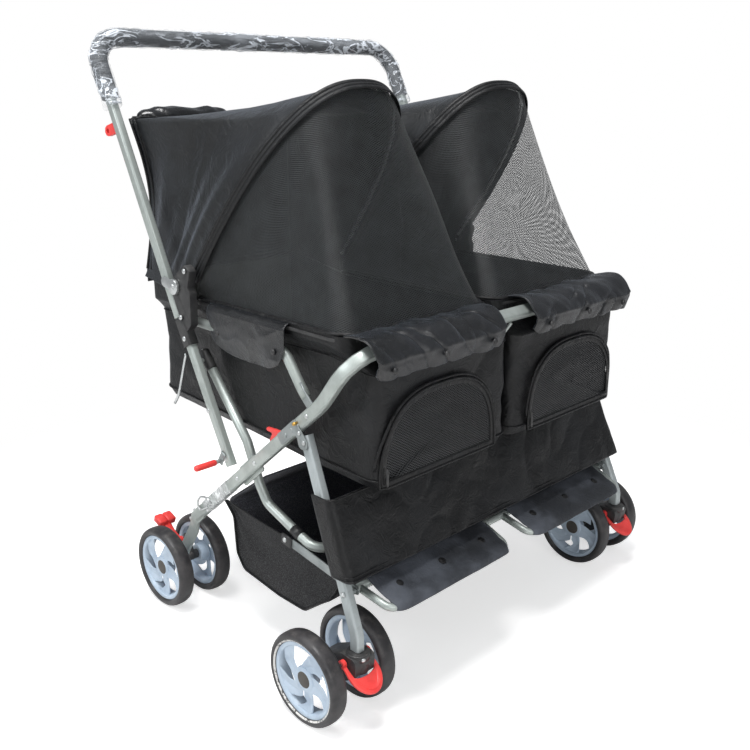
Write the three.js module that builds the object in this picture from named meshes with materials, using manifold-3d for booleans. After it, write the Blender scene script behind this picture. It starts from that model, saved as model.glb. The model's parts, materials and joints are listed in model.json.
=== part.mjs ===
// Twin pet stroller: two fabric cabins side by side on a folding tube frame with four pairs of wheels.
// Millimetres, +Z up, the front faces -Y, the ground is z = 0. Points in the side plane are [y, z].
import * as THREE from "three";
import { mergeVertices } from "three/addons/utils/BufferGeometryUtils.js";
import Module from "manifold-3d";

const wasm = await Module();
wasm.setup();

// ---- Driving dimensions ----

const ORIGIN_SHIFT_Y = 92.1; // moves the middle of the overall depth onto the origin
const GAP = 0.3; // between pieces that touch
const RUNNING = 0.5; // radial clearance of a pin in its hole
const PIN_R = 4;

// wheels
const WHEEL_R = 75;
const TYRE_WIDTH = 30;
const RIM_R = 61.5;
const RIM_WIDTH = 22;
const RIM_WALL = 8;
const HUB_R = 16;
const HUB_REACH = 11;
const SPOKES = 5;
const WHEEL_FACETS = 20; // a multiple of four puts a corner on the ground
const AXLE_R = 5;
const CLOTH = 3; // thickness of every fabric wall
const FLAP_T = 2.5; // and of the flap between the armrest and the hinge

// front casters
const FRONT_AXLE = [-335, WHEEL_R];
const CASTER_X = 354;
const FRONT_SPREAD = 50.5; // from the caster's middle to each wheel's middle
const SWIVEL_Y = -391;
const COLLAR_R = 16.5;
const COLLAR_TOP = 125;
const CASTER_HALF_WIDTH = 20;
const LOCK_HALF_WIDTH = 26;

// rear wheels
const REAR_AXLE = [112, WHEEL_R];
const REAR_X = 324.5;
const REAR_SPREAD = 40;
const PEDAL_PIVOT = [127, 106];

// main U-shaped frame tube
const FRAME_X = 342;
const FRAME_W = 15;
const FRAME_H = 20;
const FRAME_REAR = [28, 198];
const FRAME_KNEE = [-312, 485];
const FRAME_FRONT = [-376, 567];
const FRAME_CORNER_R = 60;
const FRAME_KNEE_R = 150;
const REAR_PLATE_X = 333;
const REAR_PLATE_T = 5;
const REAR_PLATE_H = 23;

// pivots of the folding linkage
const STRUT_PIVOT = [-122.1, 321.5];
const PUSHER_PIVOT = [-3, 486.6];
const ARMREST_PIVOT = [-284, 461.4];
const LEG_PIVOT = [-277, 418];
const LINK_REAR = [-205, 232];
const LINK_FRONT = [-366.5, 205];

// strut tube that crosses the frame
const STRUT_X = 323;
const STRUT_R = 8;
const STRUT_SIDE = [
  [4, 495],
  [-103, 367],
  [-131, 300],
  [-150, 272],
  [-225, 244],
  [-270, 230],
];

// pusher tubes, hinge housings and handle
const PUSHER_X = 350;
const PUSHER_W = 14;
const PUSHER_H = 16;
const PUSHER_FOOT = [-94, 330];
const PUSHER_TOP = [22, 557];
const HOUSING_FOOT_Z = 515;
const HOUSING_WALL = 2.4;
const HANDLE_W = 14;
const HANDLE_H = 18;
const HANDLE_FOOT = [28.5, 558];
const HANDLE_BAR = [240, 1003];
const HANDLE_CORNER_R = 52;
const HANDLE_PIVOT = [25.5, 611];
const GRIP_R = 15;
const GRIP_FOOT_Z = 905;
const SLIDER_Z = [806, 868];

// front legs, armrests, links
const LEG_TOP_X = FRAME_X - 1.5;
const LEG_FOOT_X = 355;
const LEG_W = 15;
const LEG_D = 19;
const LEG_TOP = [-273, 427.4];
const LEG_FOOT_Z = 126;
const LEG_BEND_Z = 150;
const ARMREST_X = 329.2;
const ARMREST_R = 8;
const SHEET = 2; // thickness of the bracket plates
const LINK_X = 332.8;
const LINK_T = 2.6;
const LINK_H = 15;

// fabric cabins
const CABIN_IN_X = 5;
const CABIN_OUT_X = 311;
const CABIN_RIM_X = 328;
const CABIN_REAR_Y = 155;
const CABIN_FRONT_Y = -389;
const CABIN_RIM_FRONT_Y = -346;
const CABIN_CORNER_R = 24;
const RIM_Z_FRONT = 584;
const RIM_Z_HINGE = 588;
const RIM_Z_REAR = 616;
const FLOOR_Z_FRONT = 359;
const FLOOR_Z_REAR = 392;
const LEDGE_Z = 556; // the walls flare out to the rim above the armrest
const LEDGE_FRONT_Z = 540; // and below the front bar
const LEDGE_CLIMB = 90; // over this depth the ledge rises from the one to the other
const DOOR_X = [50, 298];
const DOOR_Z = [366, 498];

// hood
const HOOP_R = 3;
const HOOP_FOOT = [8, 621];
const HOOP_PIVOT = [-5, 638];
const HOOP_LEAN = 37.5;
const HOOP_HEIGHT = 378;
const HOOP_HALF_WIDTH = 161;
const HOOP_MID_X = 168;
const HOOP_POWER = 2.5; // exponent of the rounded arch
const HOOD_REAR_Y = 158;
const HOOD_TOP_Z = 872;
const HOOD_CLEARANCE = 5; // between the hood's widest place and the handle tube
const HOOD_HALF_WIDTH = PUSHER_X - HANDLE_W / 2 - HOOD_CLEARANCE;
const HOOD_FOOT_Z = 619;
const HOOD_WAIST = 22; // how far the sides pull in half way up

// basket
const BASKET_X = 314;
const BASKET_BACK_TOP = [-134, 313];
const BASKET_REAR = [-23, 235];
const BASKET_FLOOR = [
  [-55, 131],
  [-110, 110],
  [-163, 103],
  [-227, 102],
  [-289, 148],
  [-318, 190],
];
const PANEL_X = 363;
const PANEL_BOTTOM = [-386, 232];
const PANEL_TOP = [-339, 348];
const PANEL_DEPTH = 38;

// footrests
const FOOT_TUBE_R = 6.5;
const FOOT_BAR = [-375, 187];
const FOOT_FRONT = [-418, 184];
const FOOT_X = [34, 306];

// ---- Shapes and solids ----

const V = (x, y, z) => new THREE.Vector3(x, y, z);
const inPlane = (x, [y, z]) => V(x, y, z);
const radians = THREE.MathUtils.degToRad;

// the point at share t of the way from a to b, both in the side plane
const between = (a, b, t) => [a[0] + (b[0] - a[0]) * t, a[1] + (b[1] - a[1]) * t];

// the height of the line through a and b at y
const heightOn = (a, b, y) => a[1] + ((b[1] - a[1]) * (y - a[0])) / (b[0] - a[0]);

const frameZ = (y) => heightOn(FRAME_REAR, FRAME_KNEE, y);

// unit vectors along a line in the side plane and square to it, on its upper side
function lineAxes(a, b) {
  const along = new THREE.Vector2(b[0] - a[0], b[1] - a[1]).normalize();
  const up = new THREE.Vector2(-along.y, along.x);
  return { along, up: up.y < 0 ? up.negate() : up };
}

// the low and high x of a slab between two distances from the middle, on one side
const span = (side, a, b) => (side < 0 ? [-b, -a] : [a, b]);

// points of an arc that rounds the corner b of the path a-b-c
function cornerArc(a, b, c, radius, steps) {
  const arriving = b.clone().sub(a).normalize();
  const leaving = c.clone().sub(b).normalize();
  const turn = arriving.angleTo(leaving);
  if (turn < 1e-3 || radius <= 0) return [b.clone()];
  const room = 0.49 * Math.min(b.distanceTo(a), b.distanceTo(c));
  const cutBack = Math.min(radius * Math.tan(turn / 2), room);
  const fitted = cutBack / Math.tan(turn / 2);
  const centre = leaving.clone().sub(arriving).normalize();
  centre.multiplyScalar(fitted / Math.cos(turn / 2)).add(b);
  const axis = arriving.clone().cross(leaving).normalize();
  const spoke = b.clone().addScaledVector(arriving, -cutBack).sub(centre);
  const points = [];
  for (let i = 0; i <= steps; i++) {
    points.push(spoke.clone().applyAxisAngle(axis, (turn * i) / steps).add(centre));
  }
  return points;
}

// a path whose inner corners are rounded
function bend(corners, radius, steps = 3) {
  const inner = corners.slice(1, -1).flatMap((corner, i) => {
    const r = Array.isArray(radius) ? radius[i] : radius;
    return cornerArc(corners[i], corner, corners[i + 2], r, steps);
  });
  return [corners[0], ...inner, corners.at(-1)];
}

// a curve through stations, with one section of the tube at each station
class BentPath extends THREE.Curve {
  constructor(stations) {
    super();
    this.stations = stations;
  }
  getPoint(t, target = V(0, 0, 0)) {
    const place = t * (this.stations.length - 1);
    const i = Math.min(Math.floor(place + 1e-6), this.stations.length - 2);
    return target.lerpVectors(this.stations[i], this.stations[i + 1], place - i);
  }
  getPointAt(t, target) {
    return this.getPoint(t, target);
  }
  getTangentAt(t, target = V(0, 0, 0)) {
    const last = this.stations.length - 1;
    const i = Math.round(t * last);
    const before = this.stations[Math.max(i - 1, 0)];
    const here = this.stations[i];
    const after = this.stations[Math.min(i + 1, last)];
    const arriving = here.clone().sub(before).normalize();
    const leaving = after.clone().sub(here).normalize();
    return target.copy(arriving).add(leaving).normalize();
  }
}

function tube(stations, section) {
  return new THREE.ExtrudeGeometry(section, {
    steps: stations.length - 1,
    extrudePath: new BentPath(stations),
    curveSegments: 1,
  });
}

function roundSection(r, sides = 8) {
  const points = [];
  for (let i = 0; i < sides; i++) {
    const turn = (2 * Math.PI * (i + 0.5)) / sides;
    points.push(new THREE.Vector2(r * Math.cos(turn), r * Math.sin(turn)));
  }
  return new THREE.Shape(points);
}

// a rectangle with rounded corners, width across X and height in the side plane
function boxSection(width, height, corner = 2.5) {
  const a = width / 2;
  const b = height / 2;
  const loop = [V(-a, -b, 0), V(a, -b, 0), V(a, b, 0), V(-a, b, 0)];
  return new THREE.Shape(roundedLoop(loop, corner, 1));
}

// a closed outline with every corner rounded
function roundedLoop(corners, radius, steps = 2) {
  const n = corners.length;
  return corners.flatMap((corner, i) => {
    const r = Array.isArray(radius) ? radius[i] : radius;
    const arc = cornerArc(corners[(i + n - 1) % n], corner, corners[(i + 1) % n], r, steps);
    return arc.map((p) => new THREE.Vector2(p.x, p.y));
  });
}

const outline = (points, radius, steps) =>
  new THREE.Shape(roundedLoop(points.map(([y, z]) => V(y, z, 0)), radius, steps));

// the outline of two round ends joined by straight sides
function capsule(a, b, r, steps = 4) {
  const start = Math.atan2(b[1] - a[1], b[0] - a[0]) + Math.PI / 2;
  const points = [];
  for (const [centre, from] of [
    [a, start],
    [b, start + Math.PI],
  ]) {
    for (let i = 0; i <= steps; i++) {
      const turn = from + (Math.PI * i) / steps;
      const [y, z] = [centre[0] + r * Math.cos(turn), centre[1] + r * Math.sin(turn)];
      points.push(new THREE.Vector2(y, z));
    }
  }
  return new THREE.Shape(points);
}

// a side-plane shape as a slab from x0 to x1
const SIDE_PLANE = new THREE.Matrix4().makeBasis(V(0, 1, 0), V(0, 0, 1), V(1, 0, 0));
function slab(shape, [x0, x1]) {
  const made = new THREE.ExtrudeGeometry(shape, { depth: x1 - x0, bevelEnabled: false, curveSegments: 4 });
  return made.applyMatrix4(SIDE_PLANE).translate(x0, 0, 0);
}

// a round bar along X
function barX([x0, x1], [y, z], r, sides = 8) {
  const made = new THREE.CylinderGeometry(r, r, x1 - x0, sides);
  return made.rotateZ(-Math.PI / 2).translate((x0 + x1) / 2, y, z);
}

// a round bar along Z
function barZ(x, y, [z0, z1], r, sides = 12) {
  const made = new THREE.CylinderGeometry(r, r, z1 - z0, sides);
  return made.rotateX(Math.PI / 2).translate(x, y, (z0 + z1) / 2);
}

function box([x0, x1], [y0, y1], [z0, z1]) {
  const made = new THREE.BoxGeometry(x1 - x0, y1 - y0, z1 - z0);
  return made.translate((x0 + x1) / 2, (y0 + y1) / 2, (z0 + z1) / 2);
}

// six times the volume inside a list of triangles, negative when they face inwards
function signedVolume(points, index) {
  let sum = 0;
  for (let i = 0; i < index.length; i += 3) {
    const [a, b, c] = [points[index[i]], points[index[i + 1]], points[index[i + 2]]];
    sum += a.dot(b.clone().cross(c));
  }
  return sum;
}

function facingOut(points, index) {
  const turned = signedVolume(points, index) < 0 ? [...index].reverse() : index;
  return new THREE.BufferGeometry().setFromPoints(points).setIndex(turned);
}

// a closed solid through a list of closed rings, capped at both ends
function loft(rings) {
  const n = rings[0].length;
  const points = rings.flat();
  const index = [];
  for (let r = 0; r + 1 < rings.length; r++) {
    for (let i = 0; i < n; i++) {
      const j = (i + 1) % n;
      const [a, b, c, d] = [r * n + i, r * n + j, (r + 1) * n + j, (r + 1) * n + i];
      index.push(a, b, c, a, c, d);
    }
  }
  for (const [ring, start, flip] of [
    [rings[0], 0, true],
    [rings.at(-1), (rings.length - 1) * n, false],
  ]) {
    const middle = ring.reduce((sum, p) => sum.add(p), V(0, 0, 0)).divideScalar(n);
    points.push(middle);
    for (let i = 0; i < n; i++) {
      const pair = flip ? [start + ((i + 1) % n), start + i] : [start + i, start + ((i + 1) % n)];
      index.push(...pair, points.length - 1);
    }
  }
  return facingOut(points, index);
}

// a closed sheet of one thickness behind a grid of points
function sheet(grid, thickness) {
  const rows = grid.length;
  const columns = grid[0].length;
  const at = (i, j) => grid[Math.min(Math.max(i, 0), rows - 1)][Math.min(Math.max(j, 0), columns - 1)];
  const front = grid.flat();
  const back = grid.flatMap((row, i) =>
    row.map((p, j) => {
      const along = at(i, j + 1).clone().sub(at(i, j - 1));
      const down = at(i + 1, j).clone().sub(at(i - 1, j));
      return p.clone().addScaledVector(along.cross(down).normalize(), -thickness);
    }),
  );
  const points = [...front, ...back];
  const id = (i, j, layer) => layer * rows * columns + i * columns + j;
  const index = [];
  const quad = (a, b, c, d) => index.push(a, b, c, a, c, d);
  for (let i = 0; i + 1 < rows; i++) {
    for (let j = 0; j + 1 < columns; j++) {
      quad(id(i, j, 0), id(i, j + 1, 0), id(i + 1, j + 1, 0), id(i + 1, j, 0));
      quad(id(i, j, 1), id(i + 1, j, 1), id(i + 1, j + 1, 1), id(i, j + 1, 1));
    }
    const last = columns - 1;
    quad(id(i, 0, 0), id(i + 1, 0, 0), id(i + 1, 0, 1), id(i, 0, 1));
    quad(id(i + 1, last, 0), id(i, last, 0), id(i, last, 1), id(i + 1, last, 1));
  }
  for (let j = 0; j + 1 < columns; j++) {
    const last = rows - 1;
    quad(id(0, j + 1, 0), id(0, j, 0), id(0, j, 1), id(0, j + 1, 1));
    quad(id(last, j, 0), id(last, j + 1, 0), id(last, j + 1, 1), id(last, j, 1));
  }
  return facingOut(points, index);
}

// ---- Joining and cutting ----

function solid(geometry) {
  const bare = geometry.clone();
  bare.deleteAttribute("normal");
  bare.deleteAttribute("uv");
  const merged = mergeVertices(bare, 1e-4);
  const vertProperties = new Float32Array(merged.attributes.position.array);
  return new wasm.Manifold(
    new wasm.Mesh({ numProp: 3, vertProperties, triVerts: new Uint32Array(merged.index.array) }),
  );
}

function geometryOf(made) {
  const { vertProperties, triVerts } = made.getMesh();
  const geometry = new THREE.BufferGeometry();
  geometry.setAttribute("position", new THREE.BufferAttribute(vertProperties, 3));
  geometry.setIndex(new THREE.BufferAttribute(triVerts, 1));
  geometry.computeVertexNormals();
  return geometry;
}

const join = (...pieces) => geometryOf(pieces.map(solid).reduce((a, b) => a.add(b)));
const cut = (from, ...tools) => geometryOf(tools.map(solid).reduce((a, b) => a.subtract(b), solid(from)));

// ---- Finishes ----

const finish = (color, roughness, metalness = 0) => ({ color, roughness, metalness });
const SILVER = finish(0xb9c0bc, 0.38, 0.6);
const STEEL = finish(0x9aa3a4, 0.3, 0.8);
const RIM_GREY = finish(0xb4c4d0, 0.5);
const TYRE_BLACK = finish(0x2b2d30, 0.85);
const RED = finish(0xe5463e, 0.4);
const BLACK_PLASTIC = finish(0x2a2c2b, 0.5);
const BLACK_CLOTH = finish(0x222327, 0.9);
const MESH_CLOTH = finish(0x1c1d1f, 0.95);
const FOAM = finish(0x2a2c2e, 0.6);

const stroller = new THREE.Group();
stroller.position.y = ORIGIN_SHIFT_Y;

function piece(name, geometry, look) {
  const mesh = new THREE.Mesh(geometry, new THREE.MeshStandardMaterial(look));
  mesh.name = name;
  stroller.add(mesh);
  return mesh;
}

// ---- Wheels ----

function tyreGeometry() {
  const half = TYRE_WIDTH / 2;
  const inner = RIM_R + GAP;
  const side = [
    [inner, half - 3],
    [WHEEL_R - 7, half],
    [WHEEL_R - 2, half - 3.5],
    [WHEEL_R, 4],
  ];
  return revolve([...side.map(([r, x]) => [r, -x]), ...[...side].reverse(), [inner, 3 - half]], WHEEL_FACETS);
}

// a profile of [radius, x] points turned about the X axis, running from -x to +x on its outer side
function revolve(profile, segments) {
  const points = profile.map(([r, x]) => new THREE.Vector2(r, x));
  return new THREE.LatheGeometry(points, segments).rotateZ(-Math.PI / 2);
}

// the window between two swept spokes, as an outline around the hub
function spokeWindow(turn) {
  const inner = HUB_R + 4;
  const outer = RIM_R - RIM_WALL - 2;
  const share = (2 * Math.PI) / SPOKES;
  const sweep = 0.55;
  const rib = 9; // width of a spoke
  const edge = (r, side) => {
    const lean = (sweep * (r - inner)) / (outer - inner);
    const angle = turn + lean + side * (share / 2 - rib / (2 * r));
    return new THREE.Vector2(r * Math.cos(angle), r * Math.sin(angle));
  };
  const radii = [inner, outer];
  return [...radii.map((r) => edge(r, -1)), ...radii.reverse().map((r) => edge(r, 1))];
}

// a rim whose closed cap faces +X
function rimGeometry() {
  const half = RIM_WIDTH / 2;
  const bandInner = RIM_R - RIM_WALL;
  const band = [
    [bandInner, 4 - half],
    [RIM_R, -half],
    [RIM_R, half],
    [bandInner, half - 4],
    [bandInner, 4 - half],
  ];
  const bore = AXLE_R + RUNNING;
  const hub = [
    [0, HUB_REACH - 3],
    [bore, HUB_REACH - 3],
    [bore, -HUB_REACH],
    [HUB_R, -HUB_REACH],
    [HUB_R, HUB_REACH - 4],
    [HUB_R - 4, HUB_REACH],
    [0, HUB_REACH],
  ];
  const web = roundSection(RIM_R - RIM_WALL / 2, 12);
  for (let i = 0; i < SPOKES; i++) {
    web.holes.push(new THREE.Path(spokeWindow((2 * Math.PI * i) / SPOKES)));
  }
  const spokes = slab(web, [-4, 5]);
  const open = cut(spokes, barX([-half, half], [0, 0], HUB_R - 2));
  return join(revolve(band, WHEEL_FACETS), open, revolve(hub, 10));
}

// a wheel whose cap faces away from its partner
function wheel(name, x, [y, z], outward) {
  const tyre = piece(name.replace("*", "tyre"), tyreGeometry(), TYRE_BLACK);
  const rim = piece(name.replace("*", "rim"), rimGeometry(), RIM_GREY);
  tyre.position.set(x, y, z);
  rim.position.set(x, y, z);
  rim.rotation.z = outward > 0 ? 0 : Math.PI;
}

function frontWheels(side, mark) {
  for (const [place, way] of [
    ["outer", 1],
    ["inner", -1],
  ]) {
    const x = side * (CASTER_X + way * FRONT_SPREAD);
    wheel(`front_*_${place}_${mark}`, x, FRONT_AXLE, side * way);
  }
}

function rearWheels(side, mark) {
  for (const [place, way] of [
    ["outer", 1],
    ["inner", -1],
  ]) {
    const x = side * (REAR_X + way * REAR_SPREAD);
    wheel(`rear_*_${place}_${mark}`, x, REAR_AXLE, side * way);
  }
}

// ---- Casters, axles and pedals ----

const LOCK_PIVOT = [-384, 109];
const LOCK_TIP = [-427, 73];
const LOCK_PIN_R = 3;

function casterHousing(side, mark) {
  const mid = side * CASTER_X;
  const around = (half) => [mid - half, mid + half];
  const body = outline(
    [
      [-408, 120],
      [-374, 122],
      [-322, 96],
      [-316, 62],
      [-350, 58],
      [-404, 90],
    ],
    8,
  );
  const collar = barZ(mid, SWIVEL_Y, [92, COLLAR_TOP], COLLAR_R);
  const axle = barX(around(FRONT_SPREAD + HUB_REACH - 4), FRONT_AXLE, AXLE_R);
  const sleeve = barX(around(FRONT_SPREAD - HUB_REACH - 1), FRONT_AXLE, AXLE_R + 4);
  const stub = barX(around(LOCK_HALF_WIDTH + 3), LOCK_PIVOT, LOCK_PIN_R);
  const socket = barZ(mid, SWIVEL_Y, [100, COLLAR_TOP + 1], STEM_R + RUNNING);
  const housing = join(slab(body, around(CASTER_HALF_WIDTH)), collar, axle, sleeve, stub);
  piece(`caster_housing_${mark}`, cut(housing, socket), BLACK_PLASTIC);
}

function swivelLock(side, mark) {
  const mid = side * CASTER_X;
  const arm = capsule(LOCK_PIVOT, LOCK_TIP, 7);
  const cheek = (way) => slab(arm, span(way, LOCK_HALF_WIDTH - 2, LOCK_HALF_WIDTH + 2)).translate(mid, 0, 0);
  const tongue = capsule(LOCK_TIP, between(LOCK_PIVOT, LOCK_TIP, 1.12), 7);
  const bar = slab(tongue, [mid - LOCK_HALF_WIDTH, mid + LOCK_HALF_WIDTH]);
  const hole = barX([mid - 40, mid + 40], LOCK_PIVOT, LOCK_PIN_R + RUNNING);
  piece(`swivel_lock_${mark}`, cut(join(cheek(-1), cheek(1), bar), hole), RED);
}

function rearAxle(side, mark) {
  const rod = barX(span(side, REAR_X - REAR_SPREAD - 7, REAR_X + REAR_SPREAD + 7), REAR_AXLE, AXLE_R);
  const plateHalf = REAR_PLATE_T / 2 + GAP;
  const hubFace = REAR_SPREAD - HUB_REACH - 1;
  const inner = barX(span(side, REAR_X - hubFace, REAR_PLATE_X - plateHalf), REAR_AXLE, 9);
  const outer = barX(span(side, REAR_PLATE_X + plateHalf, REAR_X + hubFace), REAR_AXLE, 9);
  const cheek = capsule(REAR_AXLE, PEDAL_PIVOT, 9);
  const innerCheek = slab(cheek, span(side, REAR_X - 20, REAR_X - 16));
  const outerCheek = slab(cheek, span(side, REAR_X + 15, REAR_X + 19));
  const pin = barX(span(side, REAR_X - 18, REAR_X + 17), PEDAL_PIVOT, LOCK_PIN_R);
  piece(`rear_axle_${mark}`, join(rod, inner, outer, innerCheek, outerCheek, pin), BLACK_PLASTIC);
}

function brakePedal(side, mark) {
  const tip = [186, 122];
  const half = 14.5;
  const shaft = outline(
    [
      [118, 98],
      [140, 100],
      [188, 114],
      [190, 124],
      [160, 122],
      [128, 115],
      [118, 113],
    ],
    4,
  );
  const paddle = outline(
    [
      [150, 108],
      [tip[0], 115],
      [tip[0] + 3, 124],
      [158, 120],
    ],
    2,
  );
  const hole = barX(span(side, REAR_X - 30, REAR_X + 30), PEDAL_PIVOT, LOCK_PIN_R + RUNNING);
  const neck = slab(shaft, span(side, REAR_X - 8, REAR_X + 8));
  const pad = slab(paddle, span(side, REAR_X - half, REAR_X + half));
  piece(`brake_pedal_${mark}`, cut(join(neck, pad), hole), RED);
}

// ---- Main frame ----

// the plate that joins strut and frame tube, lying on the frame tube's inner face
function foldBracket(side) {
  const { along, up } = lineAxes(FRAME_REAR, FRAME_KNEE);
  const [y, z] = [STRUT_PIVOT[0], frameZ(STRUT_PIVOT[0])];
  const corner = (s, h) => [y + along.x * s + up.x * h, z + along.y * s + up.y * h];
  const plate = outline([corner(-34, -15), corner(38, -15), corner(30, 16), corner(-24, 16)], 5, 2);
  const face = FRAME_X - FRAME_W / 2;
  const pin = barX(span(side, STRUT_X - STRUT_R - 2, face + 1), STRUT_PIVOT, PIN_R);
  return join(slab(plate, span(side, face - SHEET, face + 0.5)), pin);
}

function rearPlate(side) {
  const x = side * FRAME_X;
  const path = [
    inPlane(x, between(FRAME_REAR, FRAME_KNEE, 0.04)),
    inPlane(x, [36, 190]),
    inPlane(side * REAR_PLATE_X, [56, 160]),
    inPlane(side * REAR_PLATE_X, REAR_AXLE),
  ];
  const plate = tube(bend(path, 12, 1), boxSection(REAR_PLATE_T, REAR_PLATE_H, 0));
  const half = REAR_PLATE_T / 2;
  const eye = barX(span(side, REAR_PLATE_X - half, REAR_PLATE_X + half), REAR_AXLE, REAR_PLATE_H / 2, 12);
  const hole = barX(span(side, REAR_PLATE_X - 8, REAR_PLATE_X + 8), REAR_AXLE, AXLE_R + RUNNING);
  return cut(join(plate, eye), hole);
}

function mainFrame() {
  const corners = [
    inPlane(-FRAME_X, FRAME_REAR),
    inPlane(-FRAME_X, FRAME_KNEE),
    inPlane(-FRAME_X, FRAME_FRONT),
    inPlane(FRAME_X, FRAME_FRONT),
    inPlane(FRAME_X, FRAME_KNEE),
    inPlane(FRAME_X, FRAME_REAR),
  ];
  const radii = [FRAME_KNEE_R, FRAME_CORNER_R, FRAME_CORNER_R, FRAME_KNEE_R];
  const main = tube(bend(corners, radii, 4), boxSection(FRAME_W, FRAME_H));
  const face = FRAME_X - FRAME_W / 2;
  const sides = [-1, 1].flatMap((side) => [
    rearPlate(side),
    foldBracket(side),
    barX(span(side, ARMREST_X - 4, face + 1), ARMREST_PIVOT, PIN_R),
  ]);
  piece("main_frame_tube", join(main, ...sides), SILVER);
}

function legBracket(side, mark) {
  const { along, up } = lineAxes(FRAME_REAR, FRAME_KNEE);
  const reach = FRAME_H / 2 - 0.5;
  const onTube = (y, h) => [y + up.x * h, frameZ(y) + up.y * h];
  const ear = 10;
  const [fy, fz] = LEG_PIVOT;
  const plate = outline(
    [
      onTube(-222, -reach),
      onTube(-222, reach),
      onTube(-264, reach),
      [fy - ear, fz + 4],
      [fy - ear + 1, fz - ear],
      [fy + ear - 1, fz - ear],
      [fy + ear + 3, fz + 6],
      [onTube(-252, -reach)[0], onTube(-252, -reach)[1]],
    ],
    [3, 3, 4, 6, 7, 7, 4, 4],
  );
  const outer = FRAME_X + FRAME_W / 2 + GAP;
  const pin = barX(span(side, LEG_TOP_X - LEG_W / 2 - 1.5, outer + 0.5), LEG_PIVOT, PIN_R);
  const head = barX(span(side, outer + 0.5, outer + SHEET + 1.5), LEG_PIVOT, PIN_R + 1.5);
  const rivetSpan = span(side, outer + 0.5, outer + SHEET + 1.2);
  const rivets = [-236, -250].map((y) => barX(rivetSpan, onTube(y, along.x), PIN_R));
  const flat = slab(plate, span(side, outer, outer + SHEET));
  piece(`leg_bracket_${mark}`, join(flat, pin, head, ...rivets), SILVER);
}

// ---- Folding linkage ----

function strutFrame() {
  const side = (way) => STRUT_SIDE.map((p) => inPlane(way * STRUT_X, p));
  const corners = [...side(-1), ...side(1).reverse()];
  const bends = [30, 40, 30, 60, 32];
  const main = tube(bend(corners, [...bends, ...[...bends].reverse()], 2), roundSection(STRUT_R));
  const pieces = [-1, 1].map((way) => capGeometry(way));
  const holes = [-1, 1].flatMap((way) =>
    [STRUT_PIVOT, PUSHER_PIVOT].map((pivot) =>
      barX(span(way, STRUT_X - 14, STRUT_X + 14), pivot, PIN_R + RUNNING),
    ),
  );
  piece("strut_frame", cut(join(main, ...pieces), ...holes), SILVER);
}

// the moulded end cap on the strut's upper end
function capGeometry(way) {
  const [top, next] = STRUT_SIDE;
  const path = [between(next, top, 1.035), between(next, top, 0.84)].map((p) => inPlane(way * STRUT_X, p));
  return tube(path, roundSection(STRUT_R + 1.2));
}

function pusher(side, mark) {
  const x = side * PUSHER_X;
  const main = tube([inPlane(x, PUSHER_FOOT), inPlane(x, PUSHER_TOP)], boxSection(PUSHER_W, PUSHER_H));
  const inner = PUSHER_X - PUSHER_W / 2;
  const lug = capsule([-17, 470], PUSHER_PIVOT, 10);
  const lugPlate = slab(lug, span(side, inner - SHEET, inner + 0.5));
  const pin = barX(span(side, STRUT_X - STRUT_R - 2.5, inner), PUSHER_PIVOT, PIN_R);
  piece(`pusher_tube_${mark}`, join(main, lugPlate, pin), SILVER);
}

function hingeHousing(side, mark) {
  const x = side * PUSHER_X;
  const bore = 2 * GAP;
  const sleeve = boxSection(PUSHER_W + bore + 2 * HOUSING_WALL, PUSHER_H + bore + 2 * HOUSING_WALL, 3);
  sleeve.holes.push(new THREE.Path(boxSection(PUSHER_W + bore, PUSHER_H + bore).getPoints(1).reverse()));
  const sleeveFoot = [heightOnZ(PUSHER_FOOT, PUSHER_TOP, HOUSING_FOOT_Z), HOUSING_FOOT_Z];
  const grip = tube([inPlane(x, sleeveFoot), inPlane(x, PUSHER_TOP)], sleeve);
  const front = lineAxes(HANDLE_FOOT, HANDLE_BAR);
  const clear = HANDLE_H / 2 + 1;
  const onHandle = (z) => [heightOnZ(HANDLE_FOOT, HANDLE_BAR, z) - clear / front.along.y, z];
  const [py, pz] = HANDLE_PIVOT;
  const [hy, hz] = HOOP_PIVOT;
  const [ty, tz] = PUSHER_TOP;
  const block = outline(
    [
      onHandle(tz - 1),
      onHandle(pz - 15),
      [py + 11, pz - 2],
      [py + 6, pz + 12],
      [hy + 3, hz + 12],
      [hy - 12, hz + 2],
      [hy - 3, hz - 26],
      [hy - 9, hz - 34],
      [ty - 34, tz - 5],
      [ty - 22, tz - 17],
    ],
    [0, 4, 6, 8, 6, 6, 8, 5, 6, 2],
  );
  const half = PUSHER_W / 2;
  const body = slab(block, span(side, PUSHER_X - half, PUSHER_X + half));
  const seatPath = [0.7, 1.002].map((share) => inPlane(x, between(PUSHER_FOOT, PUSHER_TOP, share)));
  const seat = tube(seatPath, boxSection(PUSHER_W + bore, PUSHER_H + bore));
  const hole = barX(span(side, PUSHER_X - 12, PUSHER_X + 12), HANDLE_PIVOT, PIN_R + RUNNING);
  const rivet = barX(span(side, ARMREST_X + ARMREST_R + FLAP_T + 1, PUSHER_X), HOOP_PIVOT, 2.5);
  piece(`hinge_housing_${mark}`, cut(join(grip, body, rivet), seat, hole), BLACK_PLASTIC);
}

// the y of the line through a and b at height z
function heightOnZ(a, b, z) {
  return a[0] + ((b[0] - a[0]) * (z - a[1])) / (b[1] - a[1]);
}

function armrest(side, mark) {
  const x = side * ARMREST_X;
  const path = [
    [8, 550],
    [-214, 544],
    [-252, 492],
    [-262, 481],
  ];
  const main = tube(bend(path.map((p) => inPlane(x, p)), [34, 20], 3), roundSection(ARMREST_R));
  const face = FRAME_X - FRAME_W / 2 - GAP;
  const ear = capsule([-254, 490], ARMREST_PIVOT, 8);
  const plate = slab(ear, span(side, face - 3, face));
  const hole = barX(span(side, ARMREST_X - 8, face + 1), ARMREST_PIVOT, PIN_R + RUNNING);
  piece(`armrest_tube_${mark}`, cut(join(main, plate), hole), SILVER);
}

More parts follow.
